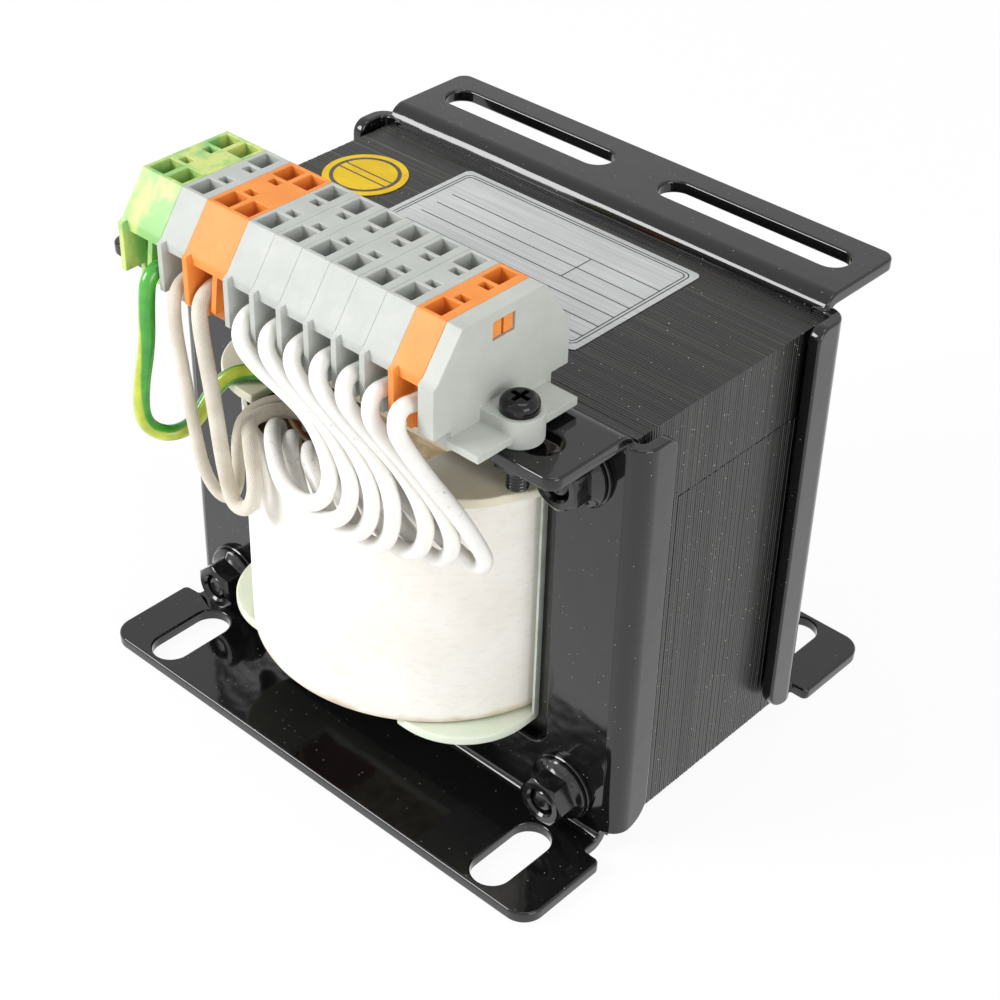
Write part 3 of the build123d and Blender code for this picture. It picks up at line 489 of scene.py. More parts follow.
whiteLook = {
    "plastic": tone(240, 238, 233),
    "handled": tone(214, 206, 192),
    "rubbed": tone(118, 112, 106),
    "sockets": {"Subsurface_Weight": 0.12, "Subsurface_Scale": 0.001, "Subsurface_Radius": (1.0, 0.8, 0.6)},
}


def whiteLeadMaterial():
    # white plastic, darker where hands held it, with small grey rubs in patches
    material, shader = makeMaterial("whiteLead", whiteLook["plastic"], 0.32, **whiteLook["sockets"])
    smear = noise(material, 1.0, 4, 0.65, at=place(material, (900, 9, 1), source="UV"))
    patch = noise(material, 1.0, 2, at=place(material, (70, 2.2, 1), source="UV"))
    grey, some = between(material, smear, 0.56, 0.66), between(material, patch, 0.5, 0.62, 0, 0.55)
    rubs = compute(material, "MULTIPLY", grey, some)
    handling = patches(material, 260, 4, 0.45, 0.75, 0, 0.22)
    base = blend(material, handling, whiteLook["plastic"], whiteLook["handled"])
    drive(material, shader, "Base Color", blend(material, rubs, base, whiteLook["rubbed"]))
    addBump(material, shader, noise(material, 900), 0.04)
    return material


greenLook = {
    "green": (tone(72, 166, 52), tone(42, 136, 36)),  # bright and dark
    "yellow": (tone(196, 206, 60), tone(150, 172, 40)),
    "stripe": (0.41, 0.69),  # the yellow's edges, in turns round the wire
    "blur": 0.04,
    "turns": 14.0,  # that the stripe makes in a metre
}


def greenLeadMaterial():
    # green plastic with one yellow stripe that winds slowly round the wire
    sockets = {"Coat_Weight": 0.3, "Coat_Roughness": 0.1}
    material, shader = makeMaterial("greenYellowLead", greenLook["green"][0], 0.2, **sockets)
    along, around = coordinate(material, "X", "UV"), coordinate(material, "Y", "UV")
    turned = compute(material, "MULTIPLY_ADD", along, greenLook["turns"], around)
    wave = compute(material, "FRACT", turned)
    (start, end), blur = greenLook["stripe"], greenLook["blur"]
    rising, falling = between(material, wave, start, start + blur), between(material, wave, end, end - blur)
    stripe = compute(material, "MULTIPLY", rising, falling)
    shade = patches(material, 300)
    green, yellow = blend(material, shade, *greenLook["green"]), blend(material, shade, *greenLook["yellow"])
    drive(material, shader, "Base Color", blend(material, stripe, green, yellow))
    addBump(material, shader, noise(material, 500, 2), 0.04)
    return material


creamLook = {
    "cloth": tone(232, 226, 212),
    "stained": tone(208, 198, 178),
    "fibre": tone(178, 168, 148),
    # painted shade: the tone laid into the valleys between the strands
    "valleyShade": tone(150, 138, 118),
    "sockets": {"Sheen_Weight": 0.3, "Sheen_Roughness": 0.5},
}


def creamSleeveMaterial():
    # braided cloth: stains, fine fibres, and painted shade in the valleys between braidRelief's two strand
    # families
    material, shader = makeMaterial("creamSleeve", creamLook["cloth"], 0.8, **creamLook["sockets"])
    fibre = noise(material, 1.0, 2, at=place(material, (2600, 60, 1), (0, 0, 0.5), "UV"))
    stain = patches(material, 180, 3, 0.4, 0.7)
    base = blend(material, stain, creamLook["cloth"], creamLook["stained"])
    base = blend(material, between(material, fibre, 0.45, 0.7, 0, 0.35), base, creamLook["fibre"])
    along, around = coordinate(material, "X", "UV"), coordinate(material, "Y", "UV")
    strands = compute(material, "MULTIPLY", around, braid["strands"])
    valleys = []
    for slope in (1, -1):
        family = compute(material, "MULTIPLY_ADD", along, slope / (braid["pitch"] * mm), strands)
        valleys.append(compute(material, "PINGPONG", family, 0.5))
    nearest = compute(material, "MINIMUM", *valleys)
    # painted shade, darkest at the valleys between the strands
    shade = between(material, nearest, 0.0, 0.2, 0.45, 0)
    drive(material, shader, "Base Color", blend(material, shade, base, creamLook["valleyShade"]))
    addBump(material, shader, fibre, 0.02, 0.6)
    return material


# by the second word of the node's name: finish, slot, end of the piece's name, grid spacing along it in mm,
# columns round it, relief
leadKinds = {
    "green": (greenLeadMaterial(), "green_yellow_lead", "lead", 0.3, 32, None),
    "cream": (creamSleeveMaterial(), "cream_sleeve", "sleeve", 0.09, 96, braidRelief),
    "white": (whiteLeadMaterial(), "white_lead", "lead", 0.3, 32, None),
}
for node, lead in leadWires.items():
    material, slot, ending, spacing, columns, relief = leadKinds[node.split("_")[1]]
    path = splinePath(lead["route"])
    diameter = lead["diameter"] * mm
    wire = tubeAlong(f"{node}_{ending}", path, diameter / 2, spacing * mm, columns, relief)
    finishPiece(wire, material, [node], smoothAngle=60)
print("ten lead wires follow their routes")


# Core of varnished sheets
core = {  # mm
    "sheet": 0.5,
    "groove": 0.18,  # after every second sheet of the E stack
    "shallow": 0.06,  # after the others
    "third": 0.03,  # more after every third sheet of the I stack
    "lip": 0.1,  # half a groove's width
    "face": 0.02,  # inset of the stack's front and back
    "unevenness": 0.035,
    "joint": 0.16,  # most that an E sheet's end stays short of the I
}


def outwardOf(runs):
    # unit vectors square to the runs (x, z) of an outline
    return np.stack([runs[:, 1], -runs[:, 0]], axis=1) / np.linalg.norm(runs, axis=1, keepdims=True)


def stackMesh(name, outline, grooves, jointCorners, box):
    # the outline's corners (x, z) pushed inwards by a depth that follows y:
    # point = corner - depth(y) * outward
    outline = np.array(outline)
    runs = np.roll(outline, -1, axis=0) - outline
    outward = outwardOf(np.roll(runs, 1, axis=0)) + outwardOf(runs)
    front, back = box[0].y / mm, box[1].y / mm
    sheets = round((back - front) / core["sheet"])
    start = front + core["sheet"] * np.arange(sheets)
    lips = np.array([0, core["lip"], core["sheet"] - core["lip"]])
    stations = (start[:, None] + lips[None, :]).ravel()
    flat = rng.uniform(0, core["unevenness"], sheets)
    short = np.repeat(rng.uniform(0, core["joint"], sheets), 3)
    inset = np.stack([grooves(np.arange(sheets)), flat, flat], axis=1).ravel()
    stations, inset, short = np.append(stations, back), np.append(inset, core["face"]), np.append(short, 0)
    inset[0] = core["face"]
    points = np.zeros((len(stations), len(outline), 3))
    points[..., [0, 2]] = outline[None] - inset[:, None, None] * outward[None]
    points[..., 1] = stations[:, None]
    points[:, jointCorners, 2] -= short[:, None]
    return gridMesh(name, points * mm, closeColumns=True, capped=True)


def grooveEverySecond(sheet):
    return np.where(sheet % 2 == 0, core["groove"], core["shallow"])


def grooveShallow(sheet):
    return core["shallow"] + core["third"] * (sheet % 3 == 0)


varnish = {
    "black": tone(28, 27, 26),
    "edge": tone(118, 114, 108),  # bare steel along worn sheets
    "dust": tone(176, 166, 150),
    "spots": (1100, 0.13, 0.16),  # scale, size and share of the dust
}


def varnishMaterial():
    # black varnish over sheet edges: streaks along the sheets, worn to grey in places, and dust
    material, shader = makeMaterial("varnishedSheets", varnish["black"], 0.26, IOR=1.45)
    fine = noise(material, 1.0, 3, 0.6, at=place(material, (3, 2200, 3)))
    broad = noise(material, 1.0, 3, 0.6, at=place(material, (26, 700, 26)))
    streaks, areas = between(material, fine, 0.54, 0.8), between(material, broad, 0.42, 0.66)
    worn = compute(material, "MULTIPLY", streaks, areas)
    base = blend(material, worn, varnish["black"], varnish["edge"])
    dust = dustSpots(material, *varnish["spots"])
    drive(material, shader, "Base Color", blend(material, dust, base, varnish["dust"]))
    drive(material, shader, "Roughness", between(material, broad, 0.3, 0.7, 0.2, 0.4))
    addBump(material, shader, fine, 0.05)
    return material


coreVarnish = varnishMaterial()
low, high = (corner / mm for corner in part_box("core_e_stack"))
leg = (high.x - low.x) / 6  # an outer leg; the centre leg is twice as wide
floorOfWindow = low.z + leg
eOutline = [
    (low.x, low.z), (high.x, low.z), (high.x, high.z), (high.x - leg, high.z), (high.x - leg, floorOfWindow),
    (leg, floorOfWindow), (leg, high.z), (-leg, high.z), (-leg, floorOfWindow), (low.x + leg, floorOfWindow),
    (low.x + leg, high.z), (low.x, high.z),
]
legEnds = [k for k, (x, z) in enumerate(eOutline) if z == high.z]
eStack = stackMesh("laminated_e_sheets", eOutline, grooveEverySecond, legEnds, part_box("core_e_stack"))
finishPiece(eStack, coreVarnish, ["core_e_stack"])
low, high = (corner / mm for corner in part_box("core_i_stack"))
iOutline = [(low.x, low.z), (high.x, low.z), (high.x, high.z), (low.x, high.z)]
iStack = stackMesh("laminated_i_sheets", iOutline, grooveShallow, [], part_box("core_i_stack"))
finishPiece(iStack, coreVarnish, ["core_i_stack"])
print("core sheets are stacked")


# Folded brackets
paint = {
    "black": tone(16, 16, 17),
    "dust": tone(160, 152, 136),
    "spots": (1300, 0.12, 0.2),
    "edge": 0.4,  # mm, the rounding of the sheet's edges
}


def blackPaintMaterial():
    # glossy paint with a slow ripple, a fine grain and dull specks of dust
    material, shader = makeMaterial("blackPaint", paint["black"], 0.08, IOR=1.5)
    dust = dustSpots(material, *paint["spots"])
    drive(material, shader, "Base Color", blend(material, dust, paint["black"], paint["dust"]))
    drive(material, shader, "Roughness", between(material, dust, 0, 1, 0.08, 0.8))
    grain = compute(material, "MULTIPLY", noise(material, 1400, 2), 0.02)
    addBump(material, shader, compute(material, "ADD", noise(material, 150, 2), grain), 0.13)
    return material


blackPaint = blackPaintMaterial()
for node in ("front_bracket", "rear_bracket"):
    roundedCopy(node, "painted_" + node, blackPaint, paint["edge"], 3)
print("brackets are painted")


# Coil and bobbin
paper = {
    "white": (tone(243, 240, 234), tone(234, 229, 219)),
    "fibre": tone(218, 210, 197),
    "stain": tone(176, 150, 104),
    "stainTop": (18.0, 19.5),  # mm up, where the varnish that soaked in from below fades out
}


def paperMaterial():
    # cloudy white paper with level fibres and a varnish stain along its lower edge
    material, shader = makeMaterial("wrapPaper", tone(236, 231, 222), 0.75)
    fibre = noise(material, 1.0, 4, 0.6, at=place(material, (500, 500, 1500)))
    base = blend(material, patches(material, 60), *paper["white"])
    base = blend(material, between(material, fibre, 0.5, 0.75, 0, 0.35), base, paper["fibre"])
    wander = compute(material, "MULTIPLY_ADD", noise(material, 220, 4), 3 * mm, coordinate(material, "Z"))
    full, none = (height * mm for height in paper["stainTop"])
    stain = between(material, wander, none, full, 0, 0.75)
    drive(material, shader, "Base Color", blend(material, stain, base, paper["stain"]))
    addBump(material, shader, fibre, 0.06)
    return material


# mm; start and run along Y, low and high along Z; cuts across the flanges that let them bend
bow = {"rise": 1.8, "start": 19.5, "run": 8.0, "low": 42.0, "high": 55.0, "cuts": 8}


def bowed(points):
    # past the stack the coil's top bends up: z + rise * smooth((|y| - start) / run) * part, where
    # smooth(t) = t * t * (3 - 2 * t), part = (z - low) / (high - low), and both shares stay within 0..1
    t = np.clip((np.abs(points[..., 1]) - bow["start"]) / bow["run"], 0, 1)
    part = np.clip((points[..., 2] - bow["low"]) / (bow["high"] - bow["low"]), 0, 1)
    points[..., 2] += bow["rise"] * t * t * (3 - 2 * t) * part
    return points


wrap = {
    "thickness": 0.8,  # mm
    "rim": 0.25,  # radius of the outer wall's upper and lower edge
    "ripple": 0.07,
    "overlap": 0.16,  # step at the paper's end
    "halfTurn": 97,  # columns in half a turn
    "rows": 60,  # up the wall
    "seam": (150, 186),  # columns where the paper's end lies and where its step has faded
}


def coilWrap(name):
    # a wall profile carried round the stadium: point = stadium(s, halfWidth - inset(profile, s)) at the
    # profile's height, where the inset has slow waves and a step at the paper's end
    low, high = (np.array(corner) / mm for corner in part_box("coil_wrap"))
    halfX, straight = high[0], high[1] - high[0]
    turn = np.linspace(-np.pi / 2, np.pi / 2, wrap["halfTurn"])
    front = np.stack([np.sin(turn), -np.cos(turn)], axis=1)
    direction = np.concatenate([front, -front])
    centre = np.concatenate([np.tile([0, y], (wrap["halfTurn"], 1)) for y in (-straight, straight)])
    t, r, bottom, top = wrap["thickness"], wrap["rim"], low[2], high[2]
    arc = np.linspace(0, np.pi / 2, 5)
    outerTop = np.stack([r - r * np.cos(arc), top - r + r * np.sin(arc)], axis=1)
    outerBottom = np.stack([r - r * np.sin(arc), bottom + r - r * np.cos(arc)], axis=1)
    heights = np.linspace(bottom + r, top - r, wrap["rows"] + 2)[1:-1]
    wall = np.stack([np.zeros(wrap["rows"]), heights], axis=1)
    profile = np.concatenate([outerBottom, wall, outerTop, [[t, top], [t, bottom]]])
    s, z = np.meshgrid(np.arange(len(direction)), profile[:, 1], indexing="xy")
    ripple = 0.5 + 0.25 * np.sin(s * 0.13 + 0.5 * np.sin(z * 0.21)) + 0.25 * np.sin(s * 0.071 + z * 0.16)
    start, end = wrap["seam"]
    seam = wrap["overlap"] * np.clip((s - start) / 2, 0, 1) * np.clip((end - s) / (end - start - 2), 0, 1)
    outside = profile[:, :1] < t
    inset = profile[:, :1] + np.where(outside, wrap["ripple"] * ripple + wrap["overlap"] - seam, 0)
    points = np.zeros((len(profile), len(direction), 3))
    points[..., :2] = centre[None] + (halfX - inset)[..., None] * direction[None]
    points[..., 2] = profile[:, 1:]
    return gridMesh(name, bowed(points) * mm, closeRows=True, closeColumns=True)


finishPiece(coilWrap("paper_wrap"), paperMaterial(), ["coil_wrap"], smoothAngle=50)

nylon = {
    "lower": (tone(214, 224, 204), tone(228, 232, 214)),
    # painted light: the cream tones are the nylon's colour, lifted to make up for the shade under the strip
    "upper": (tone(244, 239, 222), tone(232, 222, 196)),
    "change": (30, 45),  # mm up, from the one to the other
    "edge": 0.3,
    "sockets": {"Subsurface_Weight": 0.35, "Subsurface_Scale": 0.002, "Subsurface_Radius": (1.0, 1.0, 0.7)},
}


def nylonMaterial():
    # milky nylon, greenish below and cream above, the cream made lighter than the nylon is as painted light
    # against the shade under the strip
    material, shader = makeMaterial("bobbinNylon", tone(224, 226, 208), 0.34, **nylon["sockets"])
    upper = between(material, coordinate(material, "Z"), *(height * mm for height in nylon["change"]))
    cloud = patches(material, 120)
    lowerColor, upperColor = blend(material, cloud, *nylon["lower"]), blend(material, cloud, *nylon["upper"])
    drive(material, shader, "Base Color", blend(material, upper, lowerColor, upperColor))
    addBump(material, shader, noise(material, 260), 0.1)
    return material


bobbin = roundedCopy("bobbin", "nylon_bobbin", nylonMaterial(), nylon["edge"], 3)
shape = bmesh.new()
shape.from_mesh(bobbin.data)
for step, side in itertools.product(range(bow["cuts"]), (-1, 1)):
    y = side * (bow["start"] + (step + 1) * bow["run"] / bow["cuts"]) * mm
    everything = shape.verts[:] + shape.edges[:] + shape.faces[:]
    bmesh.ops.bisect_plane(shape, geom=everything, plane_co=(0, y, 0), plane_no=(0, 1, 0))
shape.to_mesh(bobbin.data)
shape.free()
bent = bowed(pointsOf(bobbin.data) / mm) * mm
bobbin.data.vertices.foreach_set("co", bent.ravel())

winding = {
    "paper": tone(236, 220, 190),
    "crease": tone(188, 162, 122),
    "paperFrom": (0.5, 1.5),  # mm along X, before a wander of up to 6 mm
}


def coveredWinding(name, color, dark):
    # copper turns, one above another, with painted shade between them, at the left, where the leads come out,
    # and paper over the rest
    material, shader = makeMaterial(name, color, 0.4)
    wave = {"Vector": place(material), "Scale": 160, "Distortion": 0.4}
    turns = addNode(material, "TexWave", wave, bands_direction="Z").outputs["Fac"]
    # painted shade: the dark tone along the grooves between the turns
    bare = blend(material, between(material, turns, 0.0, 0.4, 0.8, 0), color, dark)
    crease = patches(material, 420, 4)
    cover = blend(material, crease, winding["paper"], winding["crease"])
    wander = compute(material, "MULTIPLY_ADD", noise(material, 300), 6 * mm, coordinate(material, "X"))
    start, end = (x * mm for x in winding["paperFrom"])
    drive(material, shader, "Base Color", blend(material, between(material, wander, start, end), bare, cover))
    drive(material, shader, "Roughness", between(material, wander, start, end, 0.3, 0.8))
    addBump(material, shader, crease, 0.2, 0.6)
    return material


def sheetMaterial(name, roughness, grain, metal, color, dark):
    # cloudy paper, or metal where metal is 1, with a fine grain
    material, shader = makeMaterial(name, color, roughness, Metallic=metal)
    cloud = patches(material, grain, 4)
    drive(material, shader, "Base Color", blend(material, cloud, color, dark))
    rough = between(material, cloud, 0, 1, roughness * 0.85, min(1, roughness * 1.2))
    drive(material, shader, "Roughness", rough)
    addBump(material, shader, noise(material, grain * 4), 0.04)
    return material


inside = {
    # the second tone of each winding is its painted shade between the turns
    "primary_winding": coveredWinding("primaryCopper", tone(150, 84, 50), tone(66, 34, 22)),
    "secondary_winding": coveredWinding("secondaryCopper", tone(140, 78, 48), tone(44, 26, 20)),
    "earth_screen": coveredWinding("copperFoil", tone(190, 120, 84), tone(150, 88, 60)),
    "winding_insulation": sheetMaterial(
        "insulatingPaper", 0.7, 500, 0, tone(232, 216, 180), tone(206, 184, 142)
    ),
    "window_liners": sheetMaterial("linerPaper", 0.5, 400, 0, tone(206, 212, 202), tone(186, 190, 176)),
    "clamp_springs": sheetMaterial("springSteel", 0.3, 900, 1, tone(150, 152, 156), tone(108, 110, 114)),
    "current_bars": sheetMaterial("tinnedBar", 0.28, 700, 1, tone(196, 192, 184), tone(150, 146, 138)),
}
for node, material in inside.items():
    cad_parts[node].material_slots[0].material = material
print("coil is wrapped")


# Terminal strip
plastic = {
    "roughness": 0.52,
    "grain": 900,
    "blockEdge": 0.12,  # mm
    "endEdge": 0.14,
    "sockets": {"Subsurface_Weight": 0.06, "Subsurface_Scale": 0.001},
}


def plasticMaterial(name, color, dark):
    # moulded plastic: faint clouds of colour and a fine matt grain
    material, shader = makeMaterial(name, color, plastic["roughness"], **plastic["sockets"])
    cloud = patches(material, plastic["grain"] / 4, 4, 0.3, 0.75)
    streak = noise(material, plastic["grain"], at=place(material, (1, 1, 0.35)))
    base = blend(material, cloud, color, dark)
    streak = between(material, streak, 0.45, 0.75, 0, 0.35)
    drive(material, shader, "Base Color", blend(material, streak, base, dark))
    addBump(material, shader, noise(material, plastic["grain"] * 3), 0.03)
    return material


marble = {
    "yellow": (tone(200, 212, 124), tone(184, 206, 112)),
    "green": tone(136, 190, 110),
    "greenFrom": (0.55, 0.68),  # of the mixed noise
    "sockets": {"Subsurface_Weight": 0.1, "Subsurface_Scale": 0.001},
}


def marbledMaterial():
    # green streaks drawn out in pale yellow plastic
    material, shader = makeMaterial("greenYellowPlastic", tone(210, 222, 130), 0.38, **marble["sockets"])
    streak = noise(material, 330, 3, 0.55, at=place(material, (1, 1, 0.3), (0.3, 0.5, 0)))
    drawn = compute(material, "MULTIPLY", streak, 0.6)
    mixed = compute(material, "MULTIPLY_ADD", noise(material, 90), 0.55, drawn)
    base = blend(material, between(material, streak, 0.4, 0.65), *marble["yellow"])
    green = between(material, mixed, *marble["greenFrom"])
    drive(material, shader, "Base Color", blend(material, green, base, marble["green"]))
    addBump(material, shader, noise(material, 2600), 0.03)
    return material


blockFinish = {  # by the second word of the node's name
    "green": marbledMaterial(),
    "grey": plasticMaterial("greyPlastic", tone(186, 189, 184), tone(174, 178, 172)),
    "orange": plasticMaterial("orangePlastic", tone(238, 148, 64), tone(228, 134, 52)),
}
for node in sorted(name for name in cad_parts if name.startswith("terminal_")):
    kind = node.split("_")[1]
    if kind in blockFinish:
        block = node.replace("terminal", "block")
        roundedCopy(node, block, blockFinish[kind], plastic["blockEdge"], merged=False)
endFinish = plasticMaterial("endPlatePlastic", tone(190, 193, 186), tone(180, 184, 176))
endEdge = plastic["endEdge"]
roundedCopy("terminal_end_plate", "end_plate", endFinish, endEdge, merged=False)
print("terminal strip is on its rail")


# Nuts, bolts, washers and the strip's screw
steel = {"black": tone(12, 12, 12), "worn": tone(34, 33, 32), "crease": 28}  # crease in degrees


def blackSteelMaterial(name, shine):
    # blackened steel, worn a little in patches; shine is its IOR
    material, shader = makeMaterial(name, steel["black"], 0.14, IOR=shine)
    worn = between(material, noise(material, 700, 4, 0.6), 0.5, 0.75)
    drive(material, shader, "Base Color", blend(material, worn, steel["black"], steel["worn"]))
    drive(material, shader, "Roughness", between(material, worn, 0, 1, 0.12, 0.3))
    addBump(material, shader, noise(material, 700), 0.04)
    return material


def hexRadius(angle, apothem):
    # apothem / cos(angle from the middle of the nearest flat), its corners cut back a little
    offset = (angle + np.pi / 6) % (np.pi / 3) - np.pi / 6
    return np.minimum(apothem / np.cos(offset), 0.975 * apothem / math.cos(math.pi / 6))


sixth = np.radians([-30, -28.8, -27.4, -25, -18, -9, 0, 9, 18, 25, 27.4, 28.8])  # closer at the corners
hexAngles = (sixth[None, :] + np.radians(60 * np.arange(6))[:, None]).ravel()
roundAngles = np.linspace(0, 2 * np.pi, 48, endpoint=False)
ringed = {"closeRows": True, "closeColumns": True}
plugged = {"closeColumns": True, "capped": True}


def turned(centre, axis, rows, angles):
    # rows of (radius at each angle, height) about an axis through the centre:
    # point = centre + radius * (cos(a) * first + sin(a) * second) + height * axis
    radius = np.stack([np.broadcast_to(r, angles.shape) for r, h in rows])
    height = np.array([h for r, h in rows])[:, None] * np.ones_like(radius)
    first = np.array([1.0, 0, 0])
    second = np.array([0, 0, 1.0] if axis[1] else [0, 1.0, 0])
    around = np.cos(angles)[:, None] * first + np.sin(angles)[:, None] * second
    return np.array(centre) + radius[..., None] * around + height[..., None] * np.array(axis, float)


def hardware(name, grids, material, replaced):
    # the grids as one piece of black hardware
    finishPiece(mergedPiece(name, grids), material, replaced, steel["crease"])


def centresOf(node):
    # middles (x, z) of a node's four loose solids, each from the points in its quadrant
    points = pointsOf(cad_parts[node].data) / mm
    middle = (points.min(0) + points.max(0)) / 2
    right, upper = points[:, 0] > middle[0], points[:, 2] > middle[2]
    centres = []
    for quadrant in (~right & ~upper, ~right & upper, right & ~upper, right & upper):
        own = points[quadrant]
        centres.append(((own.min(0) + own.max(0)) / 2)[[0, 2]])
    return centres


nut = {  # mm
    "flats": 7.0,
    "height": 4.6,
    "bore": 4.1,
    "flange": 10.0,
    "flangeHeight": 1.0,
    "end": 3.3,  # radius of its end face
    "slope": 1.73,  # of the chamfer round that face
    "turns": (12, 41, 26, 3),  # degrees, one for each nut
}
bolt = {  # as the nut, where the words are the same
    "radius": 2.0,
    "thread": {"radius": 2.0, "start": 0.5, "end": 5.5, "pitch": 0.7, "depth": 0.38},
    "flats": 7.0,
    "headHeight": 2.8,
    "end": 3.55,
    "slope": 1.5,
    "dish": (2.6, 2.3, 0.14),  # the head's shallow dish: radius above and below, depth
    "turns": (20, 5, 48, 33),
}
washer = {"hole": 2.3, "outer": 5.3, "thickness": 0.7, "edge": 0.1, "worn": 0.15}  # worn at its outer rim
# the strip's screw: its thread, up from the screw's end, the core below the thread, and its edges' rounding
screw = {"radius": 1.57, "start": 0.15, "end": 4.0, "pitch": 0.5, "depth": 0.16, "core": 1.3, "edge": 0.07}


def nutRows():
    # from the bracket: flange with a rounded rim, hexagon, chamfered end face, bore
    hexagon = hexRadius(hexAngles, nut["flats"] / 2)
    outer, rise, height, bore = nut["flange"] / 2, nut["flangeHeight"], nut["height"], nut["bore"] / 2
    rows = [(bore, 0), (outer - 0.15, 0), (outer, 0.15), (outer, rise * 0.55), (outer - 0.2, rise * 0.8)]
    rows += [(np.maximum(hexagon + 0.25, outer - 1.1), rise + 0.12), (hexagon, rise + 0.45)]
    for h in np.append(height - 0.9, np.linspace(height - 0.6, height, 16)):
        rows.append((np.minimum(hexagon, nut["end"] + (height - h) * nut["slope"]), h))
    return rows + [(bore + 0.4, height), (bore + 0.05, height - 0.35), (bore, height - 0.6)]


def threadRows(thread):
    # a screw thread: radius - depth * |2 * frac(h / pitch - angle / 2pi) - 1|
    start, end, pitch = thread["start"], thread["end"], thread["pitch"]
    heights = np.linspace(start, end, max(2, round((end - start) / pitch * 8)))
    phases = (heights[:, None] / pitch - roundAngles[None, :] / (2 * np.pi)) % 1
    return [(thread["radius"] - thread["depth"] * np.abs(2 * p - 1), h) for p, h in zip(phases, heights)]


def shankRows(length):
    # a domed end, the thread and the plain shank
    r = bolt["radius"]
    rows = [(0.001, 0.02), (0.8, 0.0), (r - 0.7, 0.05), (r - 0.45, 0.2), (r - 0.3, 0.4)]
    return rows + threadRows(bolt["thread"]) + [(r, 5.9), (r, length), (0.001, length)]


def headRows():
    # a hexagon with a chamfered and slightly dished end
    hexagon, height = hexRadius(hexAngles, bolt["flats"] / 2), bolt["headHeight"]
    rows = [(0.001, 0), (hexagon - 0.1, 0), (hexagon, 0.12)]
    for h in np.linspace(0.3, height, 9):
        rows.append((np.minimum(hexagon, bolt["end"] + (height - h) * bolt["slope"]), h))
    upper, lower, depth = bolt["dish"]
    return rows + [(upper, height), (lower, height - depth), (0.001, height - depth)]


def washerRows():
    # a flat ring with broken edges
    hole, outer, t = washer["hole"], washer["outer"], washer["thickness"]
    edge, worn = washer["edge"], washer["worn"]
    rows = [(hole, 0), (outer - edge, 0), (outer, edge), (outer, t - worn), (outer - worn, t)]
    return rows + [(hole + edge, t), (hole, t - edge)]


blackSteel = blackSteelMaterial("blackenedSteel", 1.55)
boltCentres = centresOf("core_nuts")
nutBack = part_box("core_nuts")[1].y / mm
nutGrids = []
for (x, z), turn in zip(boltCentres, nut["turns"]):
    angles = hexAngles + math.radians(turn)
    nutGrids.append((turned((x, nutBack, z), (0, -1, 0), nutRows(), angles), ringed))
hardware("flange_nuts", nutGrids, blackSteel, ["core_nuts"])

low, high = (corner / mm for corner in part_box("core_bolts"))
headBase = high.y - bolt["headHeight"]
boltGrids = []
for (x, z), turn in zip(boltCentres, bolt["turns"]):
    shank = shankRows(headBase - low.y + 0.2)
    angles = hexAngles + math.radians(turn)
    boltGrids.append((turned((x, low.y, z), (0, 1, 0), shank, roundAngles), plugged))
    boltGrids.append((turned((x, headBase, z), (0, 1, 0), headRows(), angles), plugged))
hardware("through_bolts", boltGrids, blackSteel, ["core_bolts"])

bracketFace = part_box("core_washers")[1].y / mm - washer["thickness"]
washerGrids = []
for side, (x, z) in itertools.product((-1, 1), boltCentres):
    seat = (x, side * bracketFace, z)
    washerGrids.append((turned(seat, (0, side, 0), washerRows(), roundAngles), ringed))
hardware("thin_washers", washerGrids, blackSteel, ["core_washers"])

blackScrew = blackSteelMaterial("blackScrew", 1.38)
roundedCopy("strip_screw", "pan_head_screw", blackScrew, screw["edge"], angle=50)
low, high = (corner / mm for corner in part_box("strip_screw"))
screwEnd = ((low.x + high.x) / 2, (low.y + high.y) / 2, low.z)
rows = [(screw["core"], 0.02)] + threadRows(screw) + [(screw["core"], screw["end"] + 0.1)]
hardware("screw_thread", [(turned(screwEnd, (0, 0, 1), rows, roundAngles), plugged)], blackSteel, ())
for node in ("strip_washer", "strip_nut"):
    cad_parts[node].material_slots[0].material = blackSteel
print("hardware is tightened")


# Label and sticker
foil = {
    "silver": (tone(202, 205, 204), tone(184, 187, 186)),  # brushed along X
    "dull": tone(172, 173, 170),
    "edge": 0.05,
}
labelPrint = {  # mm
    "line": 0.2,
    "lift": 0.012,
    "rings": ((1.0, 1.2), (1.55, 0.9)),  # inset from the label's edge, and corner radius
    "left": 3.6,
    "right": 1.55,
    "firstRow": 7.6,  # from the back edge
    "rowPitch": 3.3,
    "rows": 6,
    "dividers": ((12.5, 0, 2), (26, 3, 4)),  # from the lines' right end, and the rows between which each runs
    "ink": tone(38, 38, 40),
}
sticker = {
    "yellow": (tone(226, 190, 8), tone(212, 174, 4)),
    "edge": 0.05,
    "ring": (0.79, 0.62),  # share of the radius; mm wide
    "bars": (0.74, 0.3),
    "barOffset": 0.75,  # mm from the middle
    "ink": tone(58, 48, 30),
}


def foilMaterial():
    # brushed silver foil
    material, shader = makeMaterial("silverLabel", tone(196, 199, 198), 0.34, Metallic=0.25)
    grain = noise(material, 1.0, at=place(material, (40, 2200, 40)))
    base = blend(material, between(material, grain, 0.35, 0.65), *foil["silver"])
    cloud = patches(material, 110, 3, 0.4, 0.75, 0, 0.35)
    drive(material, shader, "Base Color", blend(material, cloud, base, foil["dull"]))
    addBump(material, shader, grain, 0.01, 0.4)
    return material


def inkMaterial(name, color):
    # printing ink, a little thin in places
    material, shader = makeMaterial(name, color, 0.5)
    thin = patches(material, 2600, 3, 0.3, 0.6, 0.35, 0)
    drive(material, shader, "Base Color", blend(material, thin, color, tone(120, 122, 122)))
    addBump(material, shader, noise(material, 3000, 2), 0.01, 0.4)
    return material


def stickerMaterial():
    # cloudy matt yellow
    material, shader = makeMaterial("yellowSticker", tone(240, 204, 10), 0.45, IOR=1.35)
    drive(material, shader, "Base Color", blend(material, patches(material, 300), *sticker["yellow"]))
    addBump(material, shader, noise(material, 700), 0.02, 0.4)
    return material


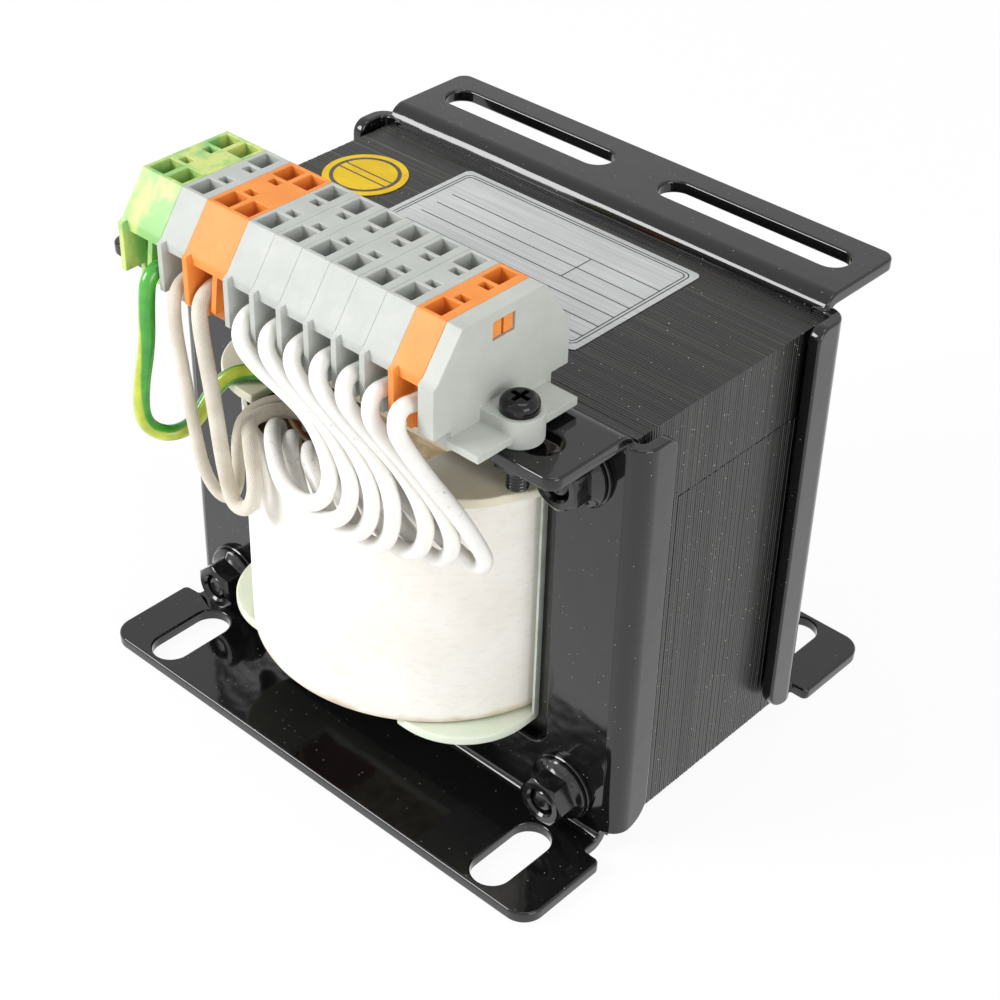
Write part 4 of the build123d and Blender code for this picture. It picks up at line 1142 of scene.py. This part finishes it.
def ribbon(points, width, height, closed=False):
    # a flat strip in mm: point +- width / 2 across the line's direction
    points = np.array(points, float)
    if closed:
        ahead = np.roll(points, -1, axis=0) - np.roll(points, 1, axis=0)
    else:
        ahead = np.gradient(points, axis=0)
    ahead /= np.linalg.norm(ahead, axis=1, keepdims=True)
    across = np.stack([-ahead[:, 1], ahead[:, 0]], axis=1) * width / 2
    both = np.stack([points - across, points + across], axis=1)
    strip = np.concatenate([both, np.full((*both.shape[:2], 1), height)], axis=2)
    return strip, {"closeRows": closed}


def printed(name, ribbons, material):
    # flat ribbons as one piece that faces up
    piece = mergedPiece(name, ribbons)
    if np.mean([polygon.normal.z for polygon in piece.data.polygons]) < 0:
        piece.data.flip_normals()
    return dress(piece, material)


def ringOf(low, high, inset, radius):
    # a rounded rectangle inset from a box; each corner is a quarter of centre + radius * (cos(a), sin(a))
    turn = np.linspace(0, np.pi / 2, 9)
    corners = [(high[0], high[1]), (low[0], high[1]), (low[0], low[1]), (high[0], low[1])]
    middle = (low + high) / 2
    arcs = []
    for quarter, corner in enumerate(corners):
        angle = turn + quarter * np.pi / 2
        centre = corner - np.sign(corner - middle[:2]) * (inset + radius)
        arcs.append(centre + radius * np.stack([np.cos(angle), np.sin(angle)], axis=1))
    return np.concatenate(arcs)


roundedCopy("rating_label", "silver_label", foilMaterial(), foil["edge"], angle=50)
roundedCopy("round_sticker", "yellow_sticker", stickerMaterial(), sticker["edge"], angle=50)

low, high = (np.array(corner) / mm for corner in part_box("rating_label"))
line, face = labelPrint["line"], high[2] + labelPrint["lift"]
left, right = low[0] + labelPrint["left"], high[0] - labelPrint["right"]
rows = high[1] - labelPrint["firstRow"] - labelPrint["rowPitch"] * np.arange(labelPrint["rows"])
ribbons = [ribbon(ringOf(low, high, *ring), line, face, closed=True) for ring in labelPrint["rings"]]
ribbons += [ribbon([(left, y), (right, y)], line, face) for y in rows]
for inset, first, last in labelPrint["dividers"]:
    ribbons.append(ribbon([(right - inset, rows[first]), (right - inset, rows[last])], line, face))
printed("label_print", ribbons, inkMaterial("blackInk", labelPrint["ink"]))

low, high = (np.array(corner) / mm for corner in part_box("round_sticker"))
middle, radius, face = (low + high)[:2] / 2, (high[0] - low[0]) / 2, high[2] + labelPrint["lift"]
turn = np.linspace(0, 2 * np.pi, 96, endpoint=False)
(ringShare, ringWidth), (barShare, barWidth) = sticker["ring"], sticker["bars"]
ring = middle + ringShare * radius * np.stack([np.cos(turn), np.sin(turn)], axis=1)
ribbons = [ribbon(ring, ringWidth, face, closed=True)]
for shift in (-sticker["barOffset"], sticker["barOffset"]):
    reach = math.sqrt((barShare * radius) ** 2 - shift**2)
    ribbons.append(ribbon([middle + (-reach, shift), middle + (reach, shift)], barWidth, face))
printed("sticker_print", ribbons, inkMaterial("brownInk", sticker["ink"]))
print("labels are stuck on")
